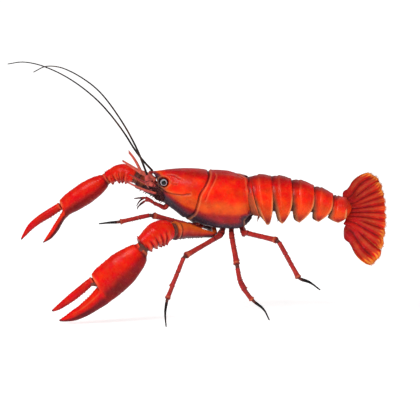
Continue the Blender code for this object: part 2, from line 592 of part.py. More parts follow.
def make_feelers():
    """The long antennae with their stems and scales, and the short forked antennules."""
    for name, side in (("left", LEFT), ("right", RIGHT)):
        tube(f"{name}_antenna", on_side(ANTENNA_PATHS[name], side), ANTENNA_RADII, "dark_tip", 25, sides=5)
        tube(f"{name}_peduncle", on_side(PEDUNCLE_PATHS[name], side), PEDUNCLE_RADII, "feeler", 6)
        tube(f"{name}_antennal_scale", on_side(SCALE_PATHS[name], side), SCALE_RADII, "feeler", 6,
             flat=0.4, flat_way=(0.2, side * 1.0, 0.4))
        stem = tube(f"{name}_antennule", on_side(ANTENNULE_STEM, side), ANTENNULE_STEM_RADII, "feeler", 4)
        for number, (points, radii) in enumerate(ANTENNULE_BRANCHES):
            branch = tube(f"{name}_antennule_branch_{number}", on_side(points, side), radii, "feeler", 5)
            branch.hide_render = True
            branch.display_type = "WIRE"
            join = stem.modifiers.new(branch.name, "BOOLEAN")
            join.operation = "UNION"
            join.object = branch
        tube(f"{name}_maxilliped", on_side(MAXILLIPED_PATHS[name], side), MAXILLIPED_RADII, "limb_shell", 7)


def rest_on_origin():
    """Moves every piece so that the origin is the bottom centre of the whole animal's box."""
    bpy.context.view_layer.update()
    graph = bpy.context.evaluated_depsgraph_get()
    corners = []
    for piece in bpy.context.scene.objects:
        if not piece.hide_render:
            shown = piece.evaluated_get(graph)
            corners += [shown.matrix_world @ Vector(corner) for corner in shown.bound_box]
    low = Vector(map(min, *corners))
    high = Vector(map(max, *corners))
    frame = bpy.data.objects.new("crayfish_frame", None)
    bpy.context.scene.collection.objects.link(frame)
    for piece in list(bpy.context.scene.objects):
        if piece != frame:
            piece.parent = frame
    frame.location = (-(low.x + high.x) / 2, -(low.y + high.y) / 2, -low.z)


def main():
    """Builds the whole animal."""
    clear_scene()
    make_carapace()
    make_sternum()
    make_eyes()
    make_tail_core()
    make_tail_plates()
    make_fan()
    make_legs()
    make_arms()
    make_feelers()
    rest_on_origin()


main()
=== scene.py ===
"""A cooked crayfish, dressed around its solid model: shell, joints, feelers, tail fan and studio.

Every piece takes its place and its size from the solid that it stands for. Lengths named in
millimetres become metres through MM. The head points to -X, up is +Z, and the animal's left side
faces -Y.
"""

import logging
import math
import random
from collections import defaultdict
from dataclasses import dataclass, field
from enum import Enum
from typing import Callable, Iterable, Sequence

import bmesh
import bpy
import numpy as np
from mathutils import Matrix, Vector, noise
from mathutils.bvhtree import BVHTree
from mathutils.kdtree import KDTree


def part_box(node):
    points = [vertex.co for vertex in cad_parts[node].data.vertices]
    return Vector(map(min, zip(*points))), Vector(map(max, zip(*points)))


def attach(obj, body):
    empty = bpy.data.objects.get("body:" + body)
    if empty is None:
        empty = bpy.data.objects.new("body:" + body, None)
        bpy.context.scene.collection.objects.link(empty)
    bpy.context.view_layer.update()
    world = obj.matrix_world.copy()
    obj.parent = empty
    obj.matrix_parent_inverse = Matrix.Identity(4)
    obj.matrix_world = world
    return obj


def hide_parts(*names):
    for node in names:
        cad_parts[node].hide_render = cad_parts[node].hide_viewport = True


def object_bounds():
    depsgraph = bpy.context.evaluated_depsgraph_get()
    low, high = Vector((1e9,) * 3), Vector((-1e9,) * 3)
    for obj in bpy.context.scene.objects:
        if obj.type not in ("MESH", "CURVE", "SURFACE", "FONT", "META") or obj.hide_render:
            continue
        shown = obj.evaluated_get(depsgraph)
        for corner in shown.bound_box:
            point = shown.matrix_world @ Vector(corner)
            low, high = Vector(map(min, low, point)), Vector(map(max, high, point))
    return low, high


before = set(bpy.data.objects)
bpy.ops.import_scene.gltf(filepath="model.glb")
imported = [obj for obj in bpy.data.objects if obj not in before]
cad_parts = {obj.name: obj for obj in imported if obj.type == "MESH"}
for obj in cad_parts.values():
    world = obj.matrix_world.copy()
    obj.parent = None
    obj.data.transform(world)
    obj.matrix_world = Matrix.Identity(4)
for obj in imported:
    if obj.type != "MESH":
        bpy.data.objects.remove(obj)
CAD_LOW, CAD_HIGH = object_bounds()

LOG = logging.getLogger("crayfish")
MM = 0.001
BODY = "root"
UP = np.array((0.0, 0.0, 1.0))
SHARP = math.radians(48)
NEARLY_FLAT = math.radians(40)
ANY_SHAPE = math.radians(180)
RIM_STEP = 0.3 * MM
SAME_POINT = 1e-6
FAR_AWAY = 1e9
Colour = tuple[float, float, float]


class Side(Enum):
    """The animal's two sides."""

    LEFT = "left"
    RIGHT = "right"

    @property
    def sign(self) -> int:
        """The side's direction along Y."""
        return -1 if self is Side.LEFT else 1


class Slot(Enum):
    """The record's material slots."""

    SHELL = "shell"
    TAIL_SHELL = "tail_shell"
    CLAW_SHELL = "claw_shell"
    LIMB_SHELL = "limb_shell"
    FLESH = "flesh"
    DARK_TIP = "dark_tip"
    FEELER = "feeler"
    EYE = "eye"


def paint(red: int, green: int, blue: int) -> Colour:
    """A colour given as a painter reads it, from 0 to 255, in linear light."""
    return tuple((c / 255 / 12.92 if c <= 10 else ((c / 255 + 0.055) / 1.055) ** 2.4)
                 for c in (red, green, blue))


def bump(x: np.ndarray, centre: float, width: float) -> np.ndarray:
    """A smooth hill of height 1 about a centre."""
    return np.exp(-((x - centre) / width) ** 2)


def step(x: np.ndarray, low: float, high: float) -> np.ndarray:
    """A smooth rise from 0 at low to 1 at high."""
    t = np.clip((x - low) / (high - low), 0, 1)
    return t * t * (3 - 2 * t)


def clouds(points: np.ndarray, size_mm: float, seed: float = 0.0) -> np.ndarray:
    """Soft random values from -1 to 1.

    Args:
        points: Places, in metres, one in each row.
        size_mm: How far apart the clouds are.
        seed: Moves the pattern, so that pieces differ.

    Returns:
        One value for each place.
    """
    scale = 1 / (size_mm * MM)
    return np.array([noise.noise(Vector(p) * scale + Vector((seed, 0, 0))) for p in points])


def unit(vectors: np.ndarray) -> np.ndarray:
    """The vectors at length 1."""
    return vectors / np.maximum(np.linalg.norm(vectors, axis=-1, keepdims=True), 1e-12)


# ---------------------------------------------------------------------------- finishes


class Nodes:
    """A short way to write a material's nodes."""

    def __init__(self, name: str) -> None:
        """Starts a material with only its output and shader.

        Args:
            name: The material's name.
        """
        self.material = bpy.data.materials.new(name)
        self.material.use_nodes = True
        self.tree = self.material.node_tree
        self.shader = self.tree.nodes["Principled BSDF"]
        self.place = self.add("ShaderNodeTexCoord").outputs["Object"]

    def add(self, kind: str, **settings: object) -> bpy.types.Node:
        """Adds a node with these settings.

        Args:
            kind: The kind of node.
            settings: The node's own settings.

        Returns:
            The new node.
        """
        node = self.tree.nodes.new(kind)
        for name, value in settings.items():
            setattr(node, name, value)
        return node

    def join(self, value: object, socket: bpy.types.NodeSocket) -> None:
        """Links an output to a socket, or sets the socket to a plain value.

        Args:
            value: An output, or a plain value.
            socket: Where it goes.
        """
        if isinstance(value, bpy.types.NodeSocket):
            self.tree.links.new(value, socket)
        else:
            socket.default_value = value

    def noise(self, scale: float, detail: float = 4.0) -> bpy.types.NodeSocket:
        """Soft noise of a scale in cells per metre.

        Args:
            scale: How many cells there are in a metre.
            detail: How many finer layers it has.

        Returns:
            The noise, from 0 to 1.
        """
        node = self.add("ShaderNodeTexNoise")
        self.join(self.place, node.inputs["Vector"])
        node.inputs["Scale"].default_value = scale
        node.inputs["Detail"].default_value = detail
        return node.outputs["Fac"]

    def cells(self, scale: float) -> bpy.types.NodeSocket:
        """The distance to the nearest of scattered points.

        Args:
            scale: How many cells there are in a metre.

        Returns:
            The distance, counted in cells.
        """
        node = self.add("ShaderNodeTexVoronoi")
        self.join(self.place, node.inputs["Vector"])
        node.inputs["Scale"].default_value = scale
        return node.outputs["Distance"]

    def spread(self, value: object, low: float, high: float, to_low: float,
               to_high: float) -> bpy.types.NodeSocket:
        """The value's range low to high mapped smoothly to another range.

        Args:
            value: The value.
            low: Where its range begins.
            high: Where its range ends.
            to_low: What low becomes.
            to_high: What high becomes.

        Returns:
            The new value.
        """
        node = self.add("ShaderNodeMapRange", interpolation_type="SMOOTHSTEP")
        for k, number in enumerate((value, low, high, to_low, to_high)):
            self.join(number, node.inputs[k])
        return node.outputs[0]

    def maths(self, operation: str, a: object, b: object) -> bpy.types.NodeSocket:
        """One sum of two values.

        Args:
            operation: What is done with them.
            a: The first value.
            b: The second value.

        Returns:
            The result.
        """
        node = self.add("ShaderNodeMath", operation=operation)
        self.join(a, node.inputs[0])
        self.join(b, node.inputs[1])
        return node.outputs[0]

    def blend(self, share: object, a: object, b: object) -> bpy.types.NodeSocket:
        """Two colours mixed by a share.

        Args:
            share: 0 for the first colour and 1 for the second.
            a: The first colour.
            b: The second colour.

        Returns:
            The mixed colour.
        """
        node = self.add("ShaderNodeMix", data_type="RGBA")
        self.join(share, node.inputs[0])
        for value, socket in ((a, node.inputs[6]), (b, node.inputs[7])):
            self.join((*value, 1.0) if isinstance(value, tuple) else value, socket)
        return node.outputs[2]

    def ramp(self, value: object, stops: Sequence[tuple[float, Colour]]) -> bpy.types.NodeSocket:
        """Colours along a value.

        Args:
            value: The value.
            stops: Places on it, each with a colour.

        Returns:
            The colour there.
        """
        node = self.add("ShaderNodeValToRGB")
        line = node.color_ramp.elements
        for k, (at, colour) in enumerate(stops):
            stop = line[k] if k < 2 else line.new(at)
            stop.position = at
            stop.color = (*colour, 1.0)
        self.join(value, node.inputs[0])
        return node.outputs[0]

    def painted(self, name: str) -> bpy.types.NodeSocket:
        """One of the values that the mesh's points carry."""
        return self.add("ShaderNodeAttribute", attribute_name=name).outputs["Fac"]


@dataclass(frozen=True)
class ShellFinish:
    """Cooked shell: colours along the mesh's tone, mottled and specked, pitted and wet; tone, dark and pale
    also carry painted light, painted shade and painted highlights.
    """

    name: str
    stops: tuple[tuple[float, Colour], ...]
    dark: Colour = paint(38, 12, 16)
    pale: Colour = paint(240, 150, 92)
    rough: tuple[float, float] = (0.24, 0.42)
    coat: float = 0.05
    gloss: float = 0.12
    drift: float = 0.10
    mottle: float = 0.16
    mottle_scale: float = 170.0
    specks: float = 0.22
    pit_scale: float = 1500.0
    relief_mm: float = 0.07
    relief_strength: float = 0.55
    glow_through: float = 0.04
    coat_rough: float = 0.13
    drift_scale: float = 70.0
    hue_scale: float = 260.0
    shade_and_stain_scale: float = 420.0
    sheen_scale: float = 900.0
    speck_scale: float = 1900.0
    grain_scale: float = 2600.0

    def material(self) -> bpy.types.Material:
        """The finish as a material, made once.

        Returns:
            The material.
        """
        made = bpy.data.materials.get(self.name)
        if made:
            return made
        n = Nodes(self.name)
        drift = n.spread(n.noise(self.drift_scale, 3.0), 0.3, 0.7, -self.drift, self.drift)
        colour = n.ramp(n.maths("ADD", n.painted("tone"), drift), self.stops)
        mottling = n.spread(n.noise(self.mottle_scale, 6.0), 0.32, 0.68, 1 - self.mottle, 1 + self.mottle)
        shaded = n.add("ShaderNodeHueSaturation")
        n.join(colour, shaded.inputs["Color"])
        n.join(mottling, shaded.inputs["Value"])
        n.join(n.spread(n.noise(self.hue_scale, 2.0), 0.3, 0.7, 0.4975, 0.5025), shaded.inputs["Hue"])
        specks = n.spread(n.noise(self.speck_scale, 2.0), 0.62, 0.72, 0.0, self.specks)
        colour = n.blend(specks, shaded.outputs["Color"], self.pale)
        # The dark and pale values hold painted shade and painted highlights as well as dark joints; this
        # patchy noise weakens them here and there.
        shade_and_stains = n.spread(n.noise(self.shade_and_stain_scale, 5.0), 0.25, 0.6, 0.75, 1.0)
        colour = n.blend(n.maths("MULTIPLY", n.painted("pale"), shade_and_stains), colour, self.pale)
        colour = n.blend(n.maths("MULTIPLY", n.painted("dark"), shade_and_stains), colour, self.dark)
        n.join(colour, n.shader.inputs["Base Color"])
        n.join(n.spread(n.noise(self.sheen_scale, 5.0), 0.3, 0.7, *self.rough), n.shader.inputs["Roughness"])
        pits = n.spread(n.cells(self.pit_scale), 0.05, 0.4, 0.0, 1.0)
        height = n.maths("ADD", n.maths("MULTIPLY", n.noise(self.grain_scale, 4.0), 0.5), pits)
        swell = n.add("ShaderNodeBump")
        swell.inputs["Strength"].default_value = self.relief_strength
        swell.inputs["Distance"].default_value = self.relief_mm * MM
        n.join(height, swell.inputs["Height"])
        n.join(swell.outputs["Normal"], n.shader.inputs["Normal"])
        n.shader.inputs["Specular IOR Level"].default_value = self.gloss
        n.shader.inputs["Coat Weight"].default_value = self.coat
        n.shader.inputs["Coat Roughness"].default_value = self.coat_rough
        n.shader.inputs["Subsurface Weight"].default_value = self.glow_through
        n.shader.inputs["Subsurface Radius"].default_value = (1.0, 0.25, 0.12)
        n.shader.inputs["Subsurface Scale"].default_value = 0.9 * MM
        return n.material


BRIGHT, FIERY = paint(232, 28, 6), paint(242, 42, 4)
ORANGE, CRIMSON = paint(224, 78, 14), paint(160, 26, 30)
DEEP, UNDERSIDE_SHADE_COLOUR = paint(138, 14, 20), paint(62, 44, 58)

# From tone 0.75 on, crimson, grey and near black are painted shade where the side curves under.
CARAPACE = ShellFinish("boiled_carapace", (
    (0.0, paint(192, 12, 8)), (0.14, BRIGHT), (0.40, FIERY), (0.56, ORANGE), (0.66, paint(212, 64, 18)),
    (0.75, CRIMSON), (0.84, paint(112, 40, 52)), (0.92, UNDERSIDE_SHADE_COLOUR), (1.0, paint(34, 30, 38))), drift=0.035)
TAIL = ShellFinish("boiled_tail", (
    (0.0, paint(160, 6, 10)), (0.18, BRIGHT), (0.45, FIERY), (0.66, paint(222, 68, 14)),
    (0.82, paint(182, 48, 26)), (1.0, paint(132, 26, 26))), drift=0.05)
FAN = ShellFinish("boiled_fan", (
    (0.0, paint(140, 10, 16)), (0.35, paint(182, 18, 14)), (0.7, paint(206, 32, 12)),
    (0.86, paint(228, 84, 16)),
    (1.0, paint(240, 138, 44))), drift=0.05, relief_mm=0.05, mottle=0.2)
CLAW = ShellFinish("boiled_claw", (
    (0.0, paint(230, 24, 2)), (0.35, paint(216, 14, 2)), (0.65, paint(170, 6, 6)), (0.85, paint(116, 6, 12)),
    (1.0, paint(78, 14, 22))), drift=0.05, mottle=0.09, specks=0.13)
ARM = ShellFinish("boiled_arm", (
    (0.0, paint(222, 98, 30)), (0.4, paint(204, 66, 28)), (0.62, paint(166, 36, 34)),
    (0.8, paint(104, 38, 46)),
    (1.0, paint(58, 44, 52))), drift=0.06)
LEG = ShellFinish("boiled_leg", (
    (0.0, paint(178, 44, 38)), (0.4, paint(148, 34, 34)), (0.75, paint(98, 22, 30)),
    (1.0, paint(44, 16, 24))),
    drift=0.09, rough=(0.3, 0.5), coat=0.08, mottle_scale=500.0)
SKIN = ShellFinish("boiled_joint_skin", (
    (0.0, paint(176, 110, 116)), (0.5, paint(112, 48, 54)), (1.0, paint(44, 20, 26))),
    drift=0.12, mottle=0.3,
    mottle_scale=600.0, coat=0.06, rough=(0.4, 0.65), glow_through=0.1)
HORN = ShellFinish("dark_horn", (
    (0.0, paint(112, 34, 30)), (0.3, paint(44, 20, 22)), (1.0, paint(16, 13, 15))), drift=0.06, specks=0.05,
    mottle_scale=900.0, relief_mm=0.03)
FEELER = ShellFinish("boiled_feeler", (
    (0.0, paint(212, 84, 78)), (0.5, paint(172, 58, 64)), (1.0, paint(96, 40, 52))), drift=0.1,
    mottle_scale=700.0, rough=(0.32, 0.5))
BRISTLE = ShellFinish("bristle", (
    (0.0, paint(176, 52, 24)), (0.5, paint(224, 118, 50)), (1.0, paint(240, 170, 96))), drift=0.1, coat=0.0,
    rough=(0.5, 0.7), mottle_scale=900.0)
EYE = ShellFinish("eyeball", (
    (0.0, paint(4, 4, 5)), (0.60, paint(5, 5, 7)), (0.66, paint(206, 202, 208)),
    (0.81, paint(160, 154, 162)),
    (0.88, paint(26, 18, 20)), (1.0, paint(18, 12, 14))), drift=0.012, mottle=0.08, specks=0.0, coat=0.4,
    rough=(0.05, 0.12), relief_mm=0.006, mottle_scale=900.0)


# ---------------------------------------------------------------------------- meshes


@dataclass
class Skin:
    """A mesh in the making: its points, its faces, and the three values that its finish reads."""

    points: np.ndarray
    faces: list[tuple[int, ...]]
    tone: np.ndarray
    dark: np.ndarray
    pale: np.ndarray

    @staticmethod
    def blank() -> "Skin":
        """A mesh with nothing in it."""
        return Skin(np.zeros((0, 3)), [], np.zeros(0), np.zeros(0), np.zeros(0))

    def plus(self, *others: "Skin") -> "Skin":
        """This mesh and the others as one.

        Args:
            others: The meshes to add.

        Returns:
            One mesh that holds them all.
        """
        parts = [self, *others]
        faces, shift = [], 0
        for part in parts:
            faces += [tuple(i + shift for i in face) for face in part.faces]
            shift += len(part.points)
        return Skin(np.vstack([p.points for p in parts]), faces,
                    *(np.concatenate([getattr(p, key) for p in parts]) for key in ("tone", "dark", "pale")))

    def make(self, name: str, finish: ShellFinish, slot: Slot, nodes: Iterable[str] = ()) -> None:
        """Turns the mesh into a dressed piece of the animal.

        Args:
            name: The piece's name.
            finish: What it is finished with.
            slot: The record's slot that the finish belongs to. It is not used.
            nodes: The solids that the piece stands for.
        """
        data = bpy.data.meshes.new(name)
        data.from_pydata(self.points.tolist(), [], self.faces)
        for key in ("tone", "dark", "pale"):
            layer = data.attributes.new(key, "FLOAT", "POINT")
            layer.data.foreach_set("value", np.clip(getattr(self, key), 0, 1).astype(np.float32))
        data.materials.append(finish.material())
        tidy = bmesh.new()
        tidy.from_mesh(data)
        bmesh.ops.recalc_face_normals(tidy, faces=tidy.faces)
        tidy.to_mesh(data)
        tidy.free()
        data.shade_smooth()
        piece = bpy.data.objects.new(name, data)
        bpy.context.scene.collection.objects.link(piece)
        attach(piece, BODY)
        if nodes:
            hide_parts(*nodes)
        LOG.info("%s: %d points", name, len(self.points))


def grid_skin(grid: np.ndarray, tone: np.ndarray, dark: np.ndarray, pale: np.ndarray) -> Skin:
    """A closed tube through a grid of points, with a point in the middle of each end.

    Args:
        grid: Points by row along the tube and column around it.
        tone: The tone at each grid point, and so for dark and pale.
        dark: How dark each point is stained.
        pale: How pale each point is stained.

    Returns:
        The tube as a mesh.
    """
    rows, columns = grid.shape[:2]
    faces = []
    for i in range(rows - 1):
        for j in range(columns):
            k = (j + 1) % columns
            faces.append((i * columns + j, i * columns + k, (i + 1) * columns + k, (i + 1) * columns + j))
    first, last = rows * columns, rows * columns + 1
    for j in range(columns):
        k = (j + 1) % columns
        faces.append((first, k, j))
        faces.append((last, (rows - 1) * columns + j, (rows - 1) * columns + k))
    points = np.vstack([grid.reshape(-1, 3), grid[0].mean(0), grid[-1].mean(0)])
    values = [np.concatenate([v.ravel(), [v[0].mean(), v[-1].mean()]]) for v in (tone, dark, pale)]
    return Skin(points, faces, *values)


def knob(base: Sequence[float], tip: Sequence[float], radius: float, tone: float = 0.5, blunt: float = 0.6,
         dark: float = 0.0, sides: int = 8) -> Skin:
    """A tooth, spine or round knob standing from base to tip.

    Args:
        base: The middle of its foot.
        tip: Its end.
        radius: Its foot's radius.
        tone: Its tone.
        blunt: 0 for a sharp spine and 1 for a dome.
        dark: How dark its tip is.
        sides: How many sides it has.

    Returns:
        The knob as a closed mesh.
    """
    base, tip = np.array(base, float), np.array(tip, float)
    ahead = unit(tip - base)
    across = unit(np.cross(ahead, (0.31, 0.84, 0.44)))
    other = np.cross(ahead, across)
    shares = np.array((0.0, 0.3, 0.6, 0.82, 0.95))
    radii = radius * (blunt * np.sqrt(1 - shares ** 2) + (1 - blunt) * (1 - shares))
    turns = np.arange(sides) * 2 * math.pi / sides
    grid = (base + (tip - base) * shares[:, None, None]
            + radii[:, None, None] * (np.cos(turns)[:, None] * across + np.sin(turns)[:, None] * other))
    flat = np.ones((len(shares), sides))
    skin = grid_skin(grid, flat * tone, flat * (shares ** 2)[:, None] * dark, flat * 0.0)
    skin.points[-1] = tip
    return skin


def bristles(roots: np.ndarray, ways: np.ndarray, length: float, radius: float, seed: int) -> Skin:
    """A fringe of fine tapering hairs.

    Args:
        roots: Where they stand.
        ways: Which way each one points.
        length: How long the longest are.
        radius: How thick they are at the root.
        seed: Where their random lengths and leans start.

    Returns:
        All of the hairs as one mesh.
    """
    chance = random.Random(seed)
    points, faces, tone = [], [], []
    for root, way in zip(roots, ways):
        lean = np.array([chance.uniform(-0.25, 0.25) for _ in range(3)])
        ahead = unit(way + lean)
        across = unit(np.cross(ahead, (0.2, 0.5, 0.84)))
        other = np.cross(ahead, across)
        reach = length * chance.uniform(0.55, 1.0)
        start = len(points)
        for turn in (0.0, 2.1, 4.2):
            corner = math.cos(turn) * across + math.sin(turn) * other
            points.append(root - ahead * radius + radius * corner)
        points.append(root + ahead * reach)
        faces += [(start + a, start + b, start + 3) for a, b in ((0, 1), (1, 2), (2, 0))]
        faces.append((start + 2, start + 1, start))
        tone += [chance.uniform(0.0, 0.3)] * 3 + [chance.uniform(0.6, 1.0)]
    none = np.zeros(len(points))
    return Skin(np.array(points), faces, np.array(tone), none, none.copy())


# ---------------------------------------------------------------------------- measuring the solids


def solid(node: str) -> tuple[np.ndarray, list[tuple[int, int, int]]]:
    """A solid's points with doubles joined, and its triangles.

    Args:
        node: The solid.

    Returns:
        Its points, and its triangles as the points' numbers.
    """
    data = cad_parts[node].data
    data.calc_loop_triangles()
    places: dict[tuple[int, ...], int] = {}
    index = [places.setdefault(tuple(round(c * 1e6) for c in v.co), len(places)) for v in data.vertices]
    points = np.array(list(places), float) * 1e-6
    triangles = [tuple(index[i] for i in t.vertices) for t in data.loop_triangles]
    return points, [t for t in triangles if len(set(t)) == 3]


def flat_patches(points: np.ndarray, triangles: Sequence[tuple[int, int, int]]) -> list[set[int]]:
    """The points of each flat patch of three triangles or more.

    Args:
        points: A solid's points.
        triangles: Its triangles.

    Returns:
        One set of points for each patch.
    """
    corners = points[np.array(triangles)]
    normals = unit(np.cross(corners[:, 1] - corners[:, 0], corners[:, 2] - corners[:, 0]))
    sharing = defaultdict(list)
    for k, t in enumerate(triangles):
        for a, b in ((0, 1), (1, 2), (2, 0)):
            sharing[frozenset((t[a], t[b]))].append(k)
    beside = defaultdict(list)
    for pair in sharing.values():
        if len(pair) == 2 and normals[pair[0]] @ normals[pair[1]] > 0.9998:
            beside[pair[0]].append(pair[1])
            beside[pair[1]].append(pair[0])
    seen, patches = set(), []
    for k in range(len(triangles)):
        stack, patch = [k], []
        while stack:
            at = stack.pop()
            if at not in seen:
                seen.add(at)
                patch.append(at)
                stack += beside[at]
        if len(patch) > 2:
            patches.append({i for at in patch for i in triangles[at]})
    return patches


def rings(node: str, start: Sequence[float]) -> list[np.ndarray]:
    """A tube's rings of points, from its end nearest to start.

    The rings are found by walking from a flat end across the mesh, as each ring joins only the next.

    Args:
        node: The solid.
        start: A point near the end to start from.

    Returns:
        The rings, each as its points.
    """
    points, triangles = solid(node)
    beside = defaultdict(set)
    for t in triangles:
        for i in t:
            beside[i].update(t)
    best: list[set[int]] = []
    for patch in flat_patches(points, triangles):
        levels, seen = [set(patch)], set(patch)
        while levels[-1]:
            found = set().union(*(beside[i] for i in levels[-1])) - seen
            seen |= found
            levels.append(found)
        levels.pop()
        uneven = sum(len(level) != len(patch) for level in levels)
        if uneven <= 1 and (not best or len(levels) >= len(best)):
            best = levels
    if not best:
        raise ValueError(f"{node} has no flat end to measure from")
    found = [points[sorted(level)] for level in best]
    away = [np.linalg.norm(ring.mean(0) - np.array(start)) for ring in (found[0], found[-1])]
    return found if away[0] <= away[1] else found[::-1]


def lengths(line: np.ndarray) -> np.ndarray:
    """How far along a line each of its points is."""
    return np.concatenate([[0], np.cumsum(np.linalg.norm(np.diff(line, axis=0), axis=1))])


def along_curve(values: np.ndarray, at: np.ndarray, where: np.ndarray, firm: bool = False) -> np.ndarray:
    """Values on a smooth curve through given ones.

    Args:
        values: One row for each known place.
        at: The known places, rising.
        where: The places asked for. Beyond the known ones the curve runs on straight.
        firm: Whether the curve may never pass its given values, as at a sharp notch.

    Returns:
        One row for each place asked for.
    """
    values = values.reshape(len(at), -1)
    slopes = np.gradient(values, at, axis=0)
    if firm:
        parts = np.diff(values, axis=0) / np.diff(at)[:, None]
        a, b = parts[:-1], parts[1:]
        both = a * b > 0
        slopes[1:-1] = np.where(both, 2 * a * b / np.where(both, a + b, 1), 0)
    k = np.clip(np.searchsorted(at, where, "right") - 1, 0, len(at) - 2)
    width = (at[k + 1] - at[k])[:, None]
    t = (where - at[k])[:, None] / width
    a, b = values[k], values[k + 1]
    ta, tb = slopes[k] * width, slopes[k + 1] * width
    curve = ((2 * t ** 3 - 3 * t ** 2 + 1) * a + (t ** 3 - 2 * t ** 2 + t) * ta
             + (3 * t ** 2 - 2 * t ** 3) * b + (t ** 3 - t ** 2) * tb)
    return np.where(t < 0, a + t * ta, np.where(t > 1, b + (t - 1) * tb, curve))


